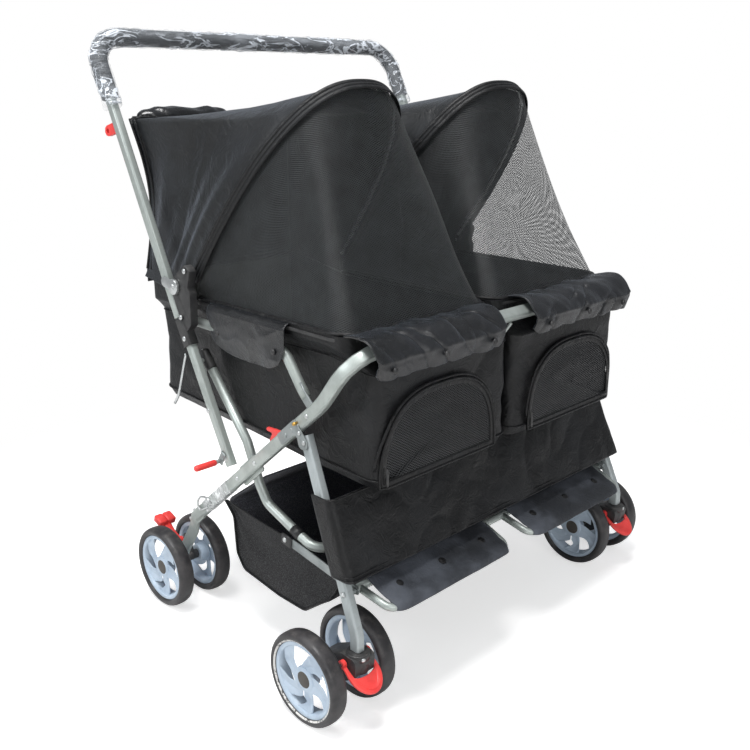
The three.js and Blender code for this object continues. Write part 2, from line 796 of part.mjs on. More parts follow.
const STEM_R = 6;
const legX = (z) => LEG_TOP_X + ((LEG_FOOT_X - LEG_TOP_X) * (LEG_TOP[1] - z)) / (LEG_TOP[1] - LEG_BEND_Z);
const legY = (z) => heightOnZ(LEG_TOP, [SWIVEL_Y, LEG_BEND_Z], z);

function frontLeg(side, mark) {
  const corners = [
    V(side * LEG_TOP_X, LEG_TOP[0], LEG_TOP[1]),
    V(side * LEG_FOOT_X, SWIVEL_Y, LEG_BEND_Z),
    V(side * LEG_FOOT_X, SWIVEL_Y, LEG_FOOT_Z),
  ];
  const main = tube(bend(corners, 30, 3), boxSection(LEG_W, LEG_D));
  const stem = barZ(side * CASTER_X, SWIVEL_Y, [102, LEG_FOOT_Z + 4], STEM_R);
  const hole = barX(span(side, LEG_TOP_X - 20, LEG_TOP_X + 20), LEG_PIVOT, PIN_R + RUNNING);
  const pin = barX(span(side, LINK_X - LINK_T / 2 - 1, legX(LINK_FRONT[1])), LINK_FRONT, 3);
  piece(`front_leg_${mark}`, cut(join(main, stem, pin), hole), SILVER);
}

function linkBar(side, mark) {
  const bar = capsule(LINK_REAR, LINK_FRONT, LINK_H / 2);
  const hole = barX(span(side, LINK_X - 9, LINK_X + 9), LINK_FRONT, 3 + RUNNING);
  const flat = slab(bar, span(side, LINK_X - LINK_T / 2, LINK_X + LINK_T / 2));
  piece(`link_bar_${mark}`, cut(flat, hole), SILVER);
}

// ---- Handle ----

const handlePath = (footZ) => [
  V(-PUSHER_X, heightOnZ(HANDLE_FOOT, HANDLE_BAR, footZ), footZ),
  inPlane(-PUSHER_X, HANDLE_BAR),
  inPlane(PUSHER_X, HANDLE_BAR),
  V(PUSHER_X, heightOnZ(HANDLE_FOOT, HANDLE_BAR, footZ), footZ),
];

function handle() {
  const path = bend(handlePath(HANDLE_FOOT[1]), HANDLE_CORNER_R, 5);
  piece("handle_tube", tube(path, boxSection(HANDLE_W, HANDLE_H)), SILVER);
  const foam = roundSection(GRIP_R, 10);
  const core = boxSection(HANDLE_W + 2 * GAP, HANDLE_H + 2 * GAP, 0);
  foam.holes.push(new THREE.Path(core.getPoints(1).reverse()));
  piece("handle_grip", tube(bend(handlePath(GRIP_FOOT_Z), HANDLE_CORNER_R, 5), foam), FOAM);
}

function handlePivot(side, mark) {
  const face = PUSHER_X + PUSHER_W / 2 + GAP;
  const onTube = [heightOnZ(HANDLE_FOOT, HANDLE_BAR, HANDLE_PIVOT[1] + 4), HANDLE_PIVOT[1] + 4];
  const strap = slab(capsule(HANDLE_PIVOT, onTube, 9), span(side, face, face + SHEET));
  const disc = barX(span(side, face, face + 6), HANDLE_PIVOT, 13, 16);
  const rivet = barX(span(side, face, face + 8), HANDLE_PIVOT, 5);
  const pin = barX(span(side, PUSHER_X - PUSHER_W / 2 - 2, face + 1), HANDLE_PIVOT, PIN_R);
  piece(`handle_pivot_${mark}`, join(strap, disc, rivet, pin), STEEL);
}

function releaseSlider(side, mark) {
  const { along } = lineAxes(HANDLE_FOOT, HANDLE_BAR);
  const back = HANDLE_H / 2 + GAP;
  const onHandle = (z) => [heightOnZ(HANDLE_FOOT, HANDLE_BAR, z), z];
  const place = (z, out) => [onHandle(z)[0] + along.y * out, z - along.x * out];
  const [low, high] = SLIDER_Z;
  const [near, far] = [back, back + SHEET];
  const bar = outline([place(low, near), place(low, far), place(high, far), place(high, near)], 0);
  const loopMiddle = place(high - 2, 34);
  const loop = capsule(place(high - 6, back + 3), loopMiddle, 9);
  const hole = barX(span(side, PUSHER_X - 9, PUSHER_X + 9), loopMiddle, 4.5);
  const around = (half) => span(side, PUSHER_X - half, PUSHER_X + half);
  const ring = slab(loop, around(3.5));
  const roomPath = [low - 20, high + 20].map((z) => inPlane(side * PUSHER_X, onHandle(z)));
  const tubeRoom = tube(roomPath, boxSection(HANDLE_W + 20, HANDLE_H + 2 * GAP, 0));
  piece(`release_slider_${mark}`, cut(join(slab(bar, around(4)), ring), hole, tubeRoom), RED);
}

// ---- Lever and hook ----

function footLever() {
  const pivot = [-83, 347];
  const rod = [-76, 334];
  const face = PUSHER_X + PUSHER_W / 2 + GAP;
  const strap = slab(capsule(pivot, rod, 6), [-face - SHEET, -face]);
  const bar = barX([-face - 14, -face], rod, 4.5);
  const sleeve = barX([-face - 54, -face - 8], rod, 6.5);
  piece("foot_lever", join(strap, bar, sleeve), RED);
}

function storageHook() {
  const { along, up } = lineAxes(FRAME_REAR, FRAME_KNEE);
  const on = (s, h) => [-196 + along.x * s + up.x * h, frameZ(-196) + along.y * s + up.y * h];
  const body = outline(
    [on(-14, 4), on(20, 4), on(24, 14), on(12, 24), on(-4, 36), on(-9, 33), on(2, 22), on(-12, 18)],
    [3, 3, 4, 3, 2, 2, 2, 4],
    2,
  );
  const face = FRAME_X - FRAME_W / 2 - GAP;
  piece("storage_hook", slab(body, [-face, -face + 5]), RED);
}

// ---- Footrests ----

function footrestFrame() {
  const legInner = legX(FOOT_BAR[1]) - LEG_W / 2 - GAP;
  const cross = barX([-legInner, legInner], FOOT_BAR, FOOT_TUBE_R, 10);
  const loops = [-1, 1].map((side) => {
    const [near, far] = FOOT_X;
    const path = [
      inPlane(side * (near - 8), FOOT_BAR),
      inPlane(side * (near - 2), FOOT_FRONT),
      inPlane(side * (far + 4), FOOT_FRONT),
      inPlane(side * (far + 14), FOOT_BAR),
    ];
    return tube(bend(path, 16, 3), roundSection(FOOT_TUBE_R, 8));
  });
  const bracket = box([-30, 30], [FOOT_BAR[0] - 9, FOOT_BAR[0] + 9], [FOOT_BAR[1] - 9, FOOT_BAR[1] + 9]);
  piece("footrest_frame", join(cross, ...loops, bracket), SILVER);
}

function footrest(side, name) {
  const top = FOOT_TUBE_R + GAP;
  const path = [
    [FOOT_BAR[0] + 8, FOOT_BAR[1] + 14],
    [FOOT_BAR[0] - 12, FOOT_BAR[1] + top + 4],
    [FOOT_FRONT[0], FOOT_FRONT[1] + top + 3],
    [FOOT_FRONT[0] - 16, FOOT_FRONT[1] + 3],
  ];
  const [near, far] = FOOT_X;
  const mid = (side * (near + far)) / 2;
  const plate = tube(bend(path.map((p) => inPlane(mid, p)), 9, 2), boxSection(far - near, 4, 1));
  const holeX = (share) => side * THREE.MathUtils.lerp(near, far, share);
  const holes = [0.16, 0.5, 0.84].map((share) => barZ(holeX(share), -392, [150, 240], 5, 8));
  piece(name, cut(plate, ...holes), BLACK_PLASTIC);
}

// ---- Cabins and doors ----

function rimZ(y) {
  if (y > 0) return THREE.MathUtils.lerp(RIM_Z_HINGE, RIM_Z_REAR, y / CABIN_REAR_Y);
  return THREE.MathUtils.lerp(RIM_Z_HINGE, RIM_Z_FRONT, y / CABIN_RIM_FRONT_Y);
}
const floorZ = (y) =>
  THREE.MathUtils.lerp(FLOOR_Z_FRONT, FLOOR_Z_REAR, (y - CABIN_FRONT_Y) / (CABIN_REAR_Y - CABIN_FRONT_Y));

// the ledge climbs from the front bar to the armrest over its first stretch
const ledgeZ = (y) =>
  THREE.MathUtils.lerp(LEDGE_FRONT_Z, LEDGE_Z, Math.min((y - CABIN_FRONT_Y) / LEDGE_CLIMB, 1));

// a cabin's plan outline: a rounded rectangle of x0..x1 and y0..y1, pulled in by inset
function planOutline([x0, x1], [y0, y1], inset, height) {
  const [left, right, front, rear] = [x0 + inset, x1 - inset, y0 + inset, y1 - inset];
  const corners = [
    [left, front],
    [right, front],
    [right, 0],
    [right, rear],
    [left, rear],
    [left, 0],
  ];
  const loop = corners.map(([x, y]) => V(x, y, 0));
  const r = CABIN_CORNER_R - inset;
  return roundedLoop(loop, [r, r, 0, r, r, 0]).map(({ x, y }) => V(x, y, height(y)));
}

function cabin(side, name) {
  const levels = [
    [CABIN_OUT_X - 8, CABIN_FRONT_Y + 8, (y) => floorZ(y)],
    [CABIN_OUT_X, CABIN_FRONT_Y, (y) => floorZ(y) + 14],
    [CABIN_OUT_X, CABIN_FRONT_Y, (y) => ledgeZ(y)],
    [CABIN_RIM_X, CABIN_RIM_FRONT_Y, (y) => ledgeZ(y) + 12],
    [CABIN_RIM_X, CABIN_RIM_FRONT_Y, (y) => rimZ(y)],
  ];
  const ring = ([outX, frontY, height], inset, lift) =>
    planOutline(span(side, CABIN_IN_X, outX), [frontY, CABIN_REAR_Y], inset, (y) => height(y) + lift);
  const outer = levels.map((level) => ring(level, 0, 0));
  const inner = levels.map((level, i) => ring(level, CLOTH, i === 0 ? CLOTH : 0)).reverse();
  const tub = loft([...outer, ...inner]);
  const doorway = doorPrism(side, 8, [CABIN_FRONT_Y - 20, CABIN_FRONT_Y + 20]);
  const barFlap = frontFlap(side);
  piece(name, join(cut(tub, doorway), barFlap, sideFlap(side)), BLACK_CLOTH);
}

// the flap that wraps over the front bar
function frontFlap(side) {
  const path = [
    [CABIN_RIM_FRONT_Y + 2, RIM_Z_FRONT - 3],
    [-366, 584],
    [-392, 581],
    [-404, 566],
    [-419, 542],
  ];
  const [x0, x1] = [32, 316];
  const fold = path.map((p) => inPlane((side * (x0 + x1)) / 2, p));
  return tube(bend(fold, 10, 2), boxSection(x1 - x0, CLOTH, 1));
}

// the flap that hangs over the armrest
function sideFlap(side) {
  const inner = ARMREST_X + ARMREST_R + GAP;
  const outer = inner + FLAP_T;
  const [yFront, yRear] = [-206, -34];
  const corners = [
    [yFront, rimZ(yFront) - 2],
    [yRear, rimZ(yRear) - 2],
    [yRear + 8, 532],
    [yRear - 10, 522],
    [yFront + 30, 512],
    [yFront + 4, 528],
  ];
  const hanging = slab(outline(corners, [0, 0, 6, 6, 10, 6]), span(side, inner, outer));
  const shelfX = span(side, CABIN_RIM_X - 2, outer - 1);
  const shelf = box(shelfX, [yFront, yRear], [RIM_Z_FRONT - 7, RIM_Z_FRONT - 4]);
  return join(hanging, shelf);
}

// the D-shaped door outline as a prism through the front wall, its edge pulled in by inset
function doorPrism(side, inset, [y0, y1]) {
  const [near, far] = DOOR_X;
  const half = (far - near) / 2 - inset;
  const low = DOOR_Z[0] + inset;
  const high = DOOR_Z[1] - inset;
  const steps = 10;
  const points = [];
  for (let i = 0; i <= steps; i++) {
    const turn = (Math.PI * i) / steps;
    const c = Math.cos(turn);
    const across = half * Math.sign(c) * Math.abs(c) ** 0.75;
    points.push(new THREE.Vector2(across, low + (high - low) * Math.sin(turn) ** 0.75));
  }
  const made = new THREE.ExtrudeGeometry(new THREE.Shape(points), { depth: y1 - y0, bevelEnabled: false });
  return made.rotateX(Math.PI / 2).translate((side * (near + far)) / 2, y1, 0);
}

function door(side, mark) {
  const front = CABIN_FRONT_Y - GAP - 0.2;
  piece(`door_${mark}`, doorPrism(side, 0, [front - CLOTH, front]), MESH_CLOTH);
}

// ---- Hood ----

const HOOP_WAY = [-Math.sin(radians(HOOP_LEAN)), Math.cos(radians(HOOP_LEAN))];

// a point of a hoop at share t from its outer foot to its inner foot, moved forward by ahead
function hoopPoint(side, t, ahead = 0, drop = 0) {
  const turn = Math.PI * t;
  const across = Math.sign(Math.cos(turn)) * Math.abs(Math.cos(turn)) ** (2 / HOOP_POWER);
  const rise = (HOOP_HEIGHT - drop) * Math.sin(turn) ** (2 / HOOP_POWER);
  return V(
    side * (HOOP_MID_X + across * (HOOP_HALF_WIDTH - drop)),
    HOOP_FOOT[0] + HOOP_WAY[0] * rise - ahead * HOOP_WAY[1],
    HOOP_FOOT[1] + HOOP_WAY[1] * rise + ahead * HOOP_WAY[0],
  );
}

const shares = (count) => Array.from({ length: count + 1 }, (_, i) => i / count);

function canopyHoop(side, mark) {
  const foot = (t) => hoopPoint(side, t).addScaledVector(V(0, ...HOOP_WAY), 4);
  const stations = [foot(0), ...shares(12).slice(1, -1).map((t) => hoopPoint(side, t)), foot(1)];
  piece(`canopy_hoop_${mark}`, tube(stations, roundSection(HOOP_R, 6)), STEEL);
}

// the cabin rim from its outer hinge round the front to its inner hinge, at share t
function rimPoint(side, t) {
  const margin = 4;
  const [x0, x1] = [CABIN_IN_X + margin, CABIN_RIM_X - margin];
  const frontY = CABIN_RIM_FRONT_Y + margin;
  const loop = bend([V(x1, 0, 0), V(x1, frontY, 0), V(x0, frontY, 0), V(x0, 0, 0)], 34, 4);
  const lengths = loop.map((p, i) => (i ? p.distanceTo(loop[i - 1]) : 0));
  let left = t * lengths.reduce((a, b) => a + b, 0);
  let i = 1;
  while (i < loop.length - 1 && left > lengths[i]) left -= lengths[i++];
  const p = loop[i - 1].clone().lerp(loop[i], Math.min(left / lengths[i], 1));
  return V(side * p.x, p.y, rimZ(p.y) + GAP + 0.5);
}

function meshDome(side, mark) {
  const rows = 3;
  const grid = shares(rows).map((v) =>
    shares(16).map((t) => hoopPoint(side, t, HOOP_R + 1.5, 1).lerp(rimPoint(side, t), v)),
  );
  piece(`mesh_dome_${mark}`, sheet(grid, side * 2), MESH_CLOTH);
}

// the hood's rear arch at share t from the left foot over the top to the right foot
function rearArch(t) {
  const corner = 0.16;
  const way = t < 0.5 ? -1 : 1;
  const s = Math.min(t, 1 - t);
  if (s >= corner) {
    return V((way * HOOD_HALF_WIDTH * (0.5 - s)) / (0.5 - corner), HOOD_REAR_Y, HOOD_TOP_Z);
  }
  const up = s / corner;
  const pull = HOOD_WAIST * Math.sin(Math.PI * up);
  const x = HOOD_HALF_WIDTH - 12 * (1 - up) - pull;
  return V(way * x, HOOD_REAR_Y, THREE.MathUtils.lerp(HOOD_FOOT_Z, HOOD_TOP_Z, up));
}

function rearCanopy() {
  const behind = -HOOP_R - 2.8;
  const frontArch = (t) =>
    t <= 0.5 ? hoopPoint(-1, 2 * t, behind) : hoopPoint(1, 2 * (1 - t), behind);
  const grid = shares(3).map((v) => shares(28).map((t) => frontArch(t).lerp(rearArch(t), v)));
  const arch = shares(28).map((t) => rearArch(t));
  const wall = new THREE.Shape(arch.map((p) => new THREE.Vector2(p.x, p.z)));
  const back = new THREE.ExtrudeGeometry(wall, { depth: CLOTH, bevelEnabled: false });
  back.rotateX(Math.PI / 2).translate(0, HOOD_REAR_Y + 0.5, 0);
  const roll = new THREE.SphereGeometry(1, 12, 6).scale(90, 44, 16);
  roll.translate(-212, HOOD_REAR_Y + 40, HOOD_TOP_Z - 6);
  piece("rear_canopy", join(sheet(grid, CLOTH), back, roll), BLACK_CLOTH);
}

// ---- Basket ----

function basket() {
  const hem = [PANEL_BOTTOM[0] - CLOTH / 2, PANEL_BOTTOM[1] + 1];
  const ribbonPath = [BASKET_BACK_TOP, BASKET_REAR, ...BASKET_FLOOR, hem];
  const ribbon = tube(bend(ribbonPath.map((p) => inPlane(0, p)), 12, 2), boxSection(2 * BASKET_X, CLOTH, 1));
  const sideTop = [BASKET_REAR, [-205, 222], [-322, 192]];
  const flank = new THREE.Shape(
    [...sideTop, ...[...BASKET_FLOOR].reverse()].map(([y, z]) => new THREE.Vector2(y, z)),
  );
  const flanks = [-1, 1].map((side) => slab(flank, span(side, BASKET_X - CLOTH, BASKET_X)));
  const rows = [PANEL_TOP, PANEL_BOTTOM].map(([y, z]) => {
    const x = PANEL_X - (z > 300 ? 5 : 0);
    const corners = [V(-x, y + PANEL_DEPTH, z), V(-x, y, z), V(x, y, z), V(x, y + PANEL_DEPTH, z)];
    return bend(corners, 9, 3);
  });
  piece("basket", join(ribbon, ...flanks, sheet(rows, CLOTH)), BLACK_CLOTH);
}

// ---- The whole stroller ----

mainFrame();
strutFrame();
handle();
footLever();
storageHook();
footrestFrame();
rearCanopy();
basket();
for (const [side, mark] of [
  [-1, "l"],
  [1, "r"],
]) {
  rearAxle(side, mark);
  brakePedal(side, mark);
  rearWheels(side, mark);
  casterHousing(side, mark);
  swivelLock(side, mark);
  frontWheels(side, mark);
  legBracket(side, mark);
  frontLeg(side, mark);
  linkBar(side, mark);
  pusher(side, mark);
  hingeHousing(side, mark);
  armrest(side, mark);
  handlePivot(side, mark);
  releaseSlider(side, mark);
  footrest(side, side < 0 ? "footrest_left" : "footrest_right");
  cabin(side, side < 0 ? "cabin_left" : "cabin_right");
  door(side, mark);
  canopyHoop(side, mark);
  meshDome(side, mark);
}

export default stroller;
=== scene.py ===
"""Twin pet stroller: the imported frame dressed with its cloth, mesh, foam, wheels and fittings."""

import json
import math

import bmesh
import bpy
from mathutils import Matrix, Vector, noise

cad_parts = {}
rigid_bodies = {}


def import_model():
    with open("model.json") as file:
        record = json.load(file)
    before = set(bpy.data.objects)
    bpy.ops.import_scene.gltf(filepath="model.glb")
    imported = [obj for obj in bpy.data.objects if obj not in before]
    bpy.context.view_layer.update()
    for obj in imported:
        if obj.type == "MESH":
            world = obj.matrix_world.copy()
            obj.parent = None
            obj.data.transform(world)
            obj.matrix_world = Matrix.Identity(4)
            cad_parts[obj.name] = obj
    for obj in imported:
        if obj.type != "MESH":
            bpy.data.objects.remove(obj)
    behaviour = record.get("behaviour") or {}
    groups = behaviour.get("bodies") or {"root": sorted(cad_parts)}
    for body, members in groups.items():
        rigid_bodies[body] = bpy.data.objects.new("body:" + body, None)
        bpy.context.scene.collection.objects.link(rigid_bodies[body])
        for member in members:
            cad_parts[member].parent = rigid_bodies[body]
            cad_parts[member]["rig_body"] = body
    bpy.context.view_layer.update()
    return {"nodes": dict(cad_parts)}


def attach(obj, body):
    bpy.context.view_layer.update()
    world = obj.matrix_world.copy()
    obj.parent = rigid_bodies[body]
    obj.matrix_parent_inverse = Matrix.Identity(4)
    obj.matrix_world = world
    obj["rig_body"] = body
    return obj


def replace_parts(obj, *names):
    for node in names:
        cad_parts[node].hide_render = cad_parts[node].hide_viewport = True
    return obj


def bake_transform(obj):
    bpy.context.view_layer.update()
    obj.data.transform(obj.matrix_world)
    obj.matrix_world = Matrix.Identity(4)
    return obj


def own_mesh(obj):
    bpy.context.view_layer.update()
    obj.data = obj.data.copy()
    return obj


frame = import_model()
scene = bpy.context.scene

# ---- Values of the part, in millimetres of its own frame ----

SHIFT_Y = 92.1  # the part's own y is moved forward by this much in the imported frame

HOOP_FOOT = (8, 621)
HOOP_LEAN = math.radians(37.5)
HOOP_HEIGHT = 378
HOOP_HALF_WIDTH = 161
HOOP_MID_X = 168
HOOP_POWER = 2.5
HOOD_REAR_Y = 158
HOOD_TOP_Z = 872
HOOD_HALF_WIDTH = 338
HOOD_FOOT_Z = 619
HOOD_WAIST = 22
HOOD_CORNER = 0.16  # share of the rear edge, from each foot, that runs up to the top's corner

CABIN_IN_X = 5
CABIN_OUT_X = 311
CABIN_RIM_X = 328
CABIN_REAR_Y = 155
CABIN_FRONT_Y = -389
CABIN_RIM_FRONT_Y = -346
CABIN_CORNER_R = 24
RIM_Z_FRONT, RIM_Z_HINGE, RIM_Z_REAR = 584, 588, 616
FLOOR_Z_FRONT, FLOOR_Z_REAR = 359, 392
LEDGE_Z, LEDGE_FRONT_Z = 556, 540
DOOR_X, DOOR_Z = (45, 303), (364, 499)

FRAME_X, FRAME_W, FRAME_H = 342, 15, 20
FRAME_REAR, FRAME_KNEE = (28, 198), (-312, 485)
PUSHER_X = 350
HANDLE_FOOT, HANDLE_BAR, HANDLE_CORNER_R = (28.5, 558), (240, 1003), 52
GRIP_R, GRIP_FOOT_Z = 15, 905
STRUT_X = 323
STRUT_SIDE = [(4, 495), (-103, 367), (-131, 300), (-150, 272), (-225, 244), (-270, 230)]
ARMREST_X = 329.2
LINK_X = 334.2

WHEEL_R = 75
FRONT_AXLE, REAR_AXLE = (-335, 75), (112, 75)
FRONT_WHEELS, REAR_WHEELS = (354, 50.5), (324.5, 40)

SIDES = ((-1, "l", "left"), (1, "r", "right"))


def at(x, y, z):
    """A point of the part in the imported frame's metres."""
    return Vector((x, y + SHIFT_Y, z)) / 1000


def side_points(points):
    """Points of the side plane, given as (y, z)."""
    return [Vector((0, y, z)) for y, z in points]


def mix(a, b, share):
    return a + (b - a) * share


def smoothstep(low, high, value):
    share = min(max((value - low) / (high - low), 0.0), 1.0)
    return share * share * (3 - 2 * share)


def height_on(a, b, y):
    """The height of the line through a and b, two points of the side plane, at y."""
    return mix(a[1], b[1], (y - a[0]) / (b[0] - a[0]))


def along_z(a, b, z):
    """The y of the line through a and b at height z."""
    return mix(a[0], b[0], (z - a[1]) / (b[1] - a[1]))


# ---- Shader nodes ----


def add_node(tree, kind, **settings):
    made = tree.nodes.new(kind)
    for name, value in settings.items():
        setattr(made, name, value)
    return made


def plug(tree, value, socket):
    """Connects an output to a socket, or sets a plain value on it."""
    if isinstance(value, bpy.types.NodeSocket):
        tree.links.new(value, socket)
    else:
        socket.default_value = value


def maths(tree, operation, *values, clamp=False):
    made = add_node(tree, "ShaderNodeMath", operation=operation, use_clamp=clamp)
    for value, socket in zip(values, made.inputs):
        plug(tree, value, socket)
    return made.outputs[0]


def noise_texture(tree, vector, scale, detail=3.0, roughness=0.5, distortion=0.0):
    made = add_node(tree, "ShaderNodeTexNoise")
    plug(tree, vector, made.inputs["Vector"])
    settings = {"Scale": scale, "Detail": detail, "Roughness": roughness, "Distortion": distortion}
    for label, value in settings.items():
        plug(tree, value, made.inputs[label])
    return made.outputs["Fac"]


def ramp(tree, value, low, high):
    made = add_node(tree, "ShaderNodeMapRange", interpolation_type="SMOOTHSTEP")
    for part, socket in zip((value, low, high), made.inputs):
        plug(tree, part, socket)
    return made.outputs[0]


def blend_colour(tree, share, first, second):
    made = add_node(tree, "ShaderNodeMix", data_type="RGBA")
    plug(tree, share, made.inputs["Factor"])
    plug(tree, first, made.inputs["A"])
    plug(tree, second, made.inputs["B"])
    return made.outputs["Result"]


def node_group(name, inputs, outputs):
    """A shader group with float inputs after its vector, and its named outputs."""
    tree = bpy.data.node_groups.new(name, "ShaderNodeTree")
    tree.interface.new_socket(name="Vector", in_out="INPUT", socket_type="NodeSocketVector")
    for label, value in inputs:
        socket = tree.interface.new_socket(name=label, in_out="INPUT", socket_type="NodeSocketFloat")
        socket.default_value = value
    for label in outputs:
        tree.interface.new_socket(name=label, in_out="OUTPUT", socket_type="NodeSocketFloat")
    return tree, tree.nodes.new("NodeGroupInput").outputs, tree.nodes.new("NodeGroupOutput").inputs


def weave_group():
    """Plain weave: warp and weft threads that pass over each other in turn."""
    tree, given, put = node_group("Weave", [("Threads", 900.0)], ["Height"])
    split = add_node(tree, "ShaderNodeSeparateXYZ")
    plug(tree, given["Vector"], split.inputs[0])
    turns = maths(tree, "MULTIPLY", given["Threads"], math.pi)
    warp = maths(tree, "SINE", maths(tree, "MULTIPLY", split.outputs[0], turns))
    weft = maths(tree, "SINE", maths(tree, "MULTIPLY", split.outputs[1], turns))
    crossing = maths(tree, "MULTIPLY", warp, weft)
    ridge = maths(tree, "MULTIPLY", maths(tree, "ABSOLUTE", warp), maths(tree, "ABSOLUTE", weft))
    over = maths(tree, "MULTIPLY_ADD", crossing, 0.25, 0.5)
    plug(tree, maths(tree, "ADD", over, maths(tree, "MULTIPLY", ridge, 0.5)), put["Height"])
    return tree


def knit_group():
    """Open warp knit: two slanting runs of thread that leave lozenge holes, wider than they are tall."""
    tree, given, put = node_group("Knit", [("Pitch", 0.0024), ("Width", 0.4)], ["Thread", "Height"])
    split = add_node(tree, "ShaderNodeSeparateXYZ")
    plug(tree, given["Vector"], split.inputs[0])
    turns = maths(tree, "DIVIDE", math.pi, given["Pitch"])
    across = maths(tree, "MULTIPLY", maths(tree, "MULTIPLY", split.outputs[0], turns), 0.62)
    down = maths(tree, "MULTIPLY", split.outputs[1], turns)
    first = maths(tree, "ABSOLUTE", maths(tree, "SINE", maths(tree, "ADD", across, down)))
    second = maths(tree, "ABSOLUTE", maths(tree, "SINE", maths(tree, "SUBTRACT", across, down)))
    nearest = maths(tree, "MINIMUM", first, second)
    plug(tree, maths(tree, "LESS_THAN", nearest, given["Width"]), put["Thread"])
    plug(tree, maths(tree, "SUBTRACT", given["Width"], nearest), put["Height"])
    return tree


def crease_group():
    """Soft creases of handled cloth, in long and short runs."""
    tree, given, put = node_group("Creases", [("Scale", 14.0), ("Sharpness", 0.5)], ["Height"])
    broad = noise_texture(tree, given["Vector"], given["Scale"], 2.0, 0.5, 0.6)
    fine = noise_texture(tree, given["Vector"], maths(tree, "MULTIPLY", given["Scale"], 3.1), 3.0, 0.6, 1.2)
    fold = maths(tree, "ABSOLUTE", maths(tree, "MULTIPLY_ADD", fine, 2.0, -1.0))
    plug(tree, maths(tree, "MULTIPLY_ADD", fold, given["Sharpness"], broad), put["Height"])
    return tree


def grain_group():
    """Fine moulded or painted grain, with broader patches in the second output: wear on metal, plastic and
    rubber, and painted light on cloth.
    """
    tree, given, put = node_group("Grain", [("Scale", 900.0), ("Patches", 30.0)], ["Height", "Patch"])
    plug(tree, noise_texture(tree, given["Vector"], given["Scale"], 2.0, 0.6), put["Height"])
    broad = noise_texture(tree, given["Vector"], given["Patches"], 4.0, 0.6)
    plug(tree, ramp(tree, broad, 0.42, 0.68), put["Patch"])
    return tree


def dust_group():
    """Pale dust and lint that gathers on faces that look up."""
    tree, given, put = node_group("Dust", [("Scale", 60.0), ("Amount", 0.2)], ["Mask"])
    facing = add_node(tree, "ShaderNodeSeparateXYZ")
    plug(tree, add_node(tree, "ShaderNodeNewGeometry").outputs["Normal"], facing.inputs[0])
    upward = ramp(tree, facing.outputs[2], 0.1, 1.0)
    specks = ramp(tree, noise_texture(tree, given["Vector"], given["Scale"], 5.0, 0.65), 0.45, 0.75)
    share = maths(tree, "MULTIPLY", maths(tree, "MULTIPLY_ADD", upward, 0.7, 0.3), specks)
    plug(tree, maths(tree, "MULTIPLY", share, given["Amount"], clamp=True), put["Mask"])
    return tree


GROUPS = {
    "weave": weave_group(),
    "knit": knit_group(),
    "creases": crease_group(),
    "grain": grain_group(),
    "dust": dust_group(),
}


def use_group(tree, name, vector, **values):
    made = add_node(tree, "ShaderNodeGroup", node_tree=GROUPS[name])
    plug(tree, vector, made.inputs["Vector"])
    for label, value in values.items():
        plug(tree, value, made.inputs[label])
    return made.outputs


def bump(tree, height, distance, strength=1.0, normal=None):
    made = add_node(tree, "ShaderNodeBump")
    made.inputs["Strength"].default_value = strength
    made.inputs["Distance"].default_value = distance
    plug(tree, height, made.inputs["Height"])
    if normal is not None:
        plug(tree, normal, made.inputs["Normal"])
    return made.outputs[0]


def start_material(name, roughness, **settings):
    """A material with its shader's plain numbers set, and its coordinates."""
    made = bpy.data.materials.new(name)
    made.use_nodes = True
    tree = made.node_tree
    shader = tree.nodes["Principled BSDF"]
    shader.inputs["Roughness"].default_value = roughness
    for label, value in settings.items():
        shader.inputs[label.replace("_", " ")].default_value = value
    coordinates = add_node(tree, "ShaderNodeTexCoord").outputs
    return made, tree, shader.inputs, coordinates


def rgb(*levels):
    """A colour written in display levels of 0 to 255, as linear light."""
    return (*(((v / 255 + 0.055) / 1.055) ** 2.4 if v > 10 else v / 3295 for v in levels), 1.0)


# ---- Finishes ----


def woven_cloth(name, base, lit, creases, sharpness, threads=1400.0, sheen=0.3, roughness=0.46, shine=0.34):
    """Coated oxford: fine weave, creases, a soft bluish sheen, a little lint, and a painted lit tone in broad
    random patches.
    """
    made, tree, shader, where = start_material(
        name,
        roughness,
        Sheen_Weight=sheen,
        Sheen_Roughness=0.3,
        Sheen_Tint=rgb(190, 200, 215),
        Specular_IOR_Level=shine,
    )
    fold = use_group(tree, "creases", where["Object"], Scale=creases, Sharpness=sharpness)["Height"]
    weave = use_group(tree, "weave", where["UV"], Threads=threads)["Height"]
    patch = use_group(tree, "grain", where["Object"], Patches=7.0)["Patch"]
    dust = use_group(tree, "dust", where["Object"], Scale=260.0, Amount=0.07)["Mask"]
    # Painted light: lit is a lighter copy of the cloth's colour, blended in over broad random patches as if
    # light fell there.
    colour = blend_colour(tree, patch, base, lit)
    colour = blend_colour(tree, dust, colour, rgb(120, 122, 125))
    plug(tree, colour, shader["Base Color"])
    plug(tree, maths(tree, "MULTIPLY_ADD", patch, 0.14, roughness - 0.06), shader["Roughness"])
    normal = bump(tree, fold, 0.006, 1.0)
    plug(tree, bump(tree, weave, 0.00025, 0.5, normal), shader["Normal"])
    return made


def felt_cloth(name, base, fibre):
    """Napped polyester felt with short fibres standing off it."""
    made, tree, shader, where = start_material(
        name, 0.95, Sheen_Weight=0.08, Sheen_Roughness=0.7, Specular_IOR_Level=0.2
    )
    nap = noise_texture(tree, where["Object"], 520.0, 3.0, 0.75)
    patch = noise_texture(tree, where["Object"], 16.0, 3.0, 0.6)
    colour = blend_colour(tree, ramp(tree, nap, 0.42, 0.72), base, fibre)
    colour = blend_colour(tree, maths(tree, "MULTIPLY", patch, 0.35), colour, base)
    plug(tree, colour, shader["Base Color"])
    plug(tree, bump(tree, nap, 0.0012, 1.0), shader["Normal"])
    return made


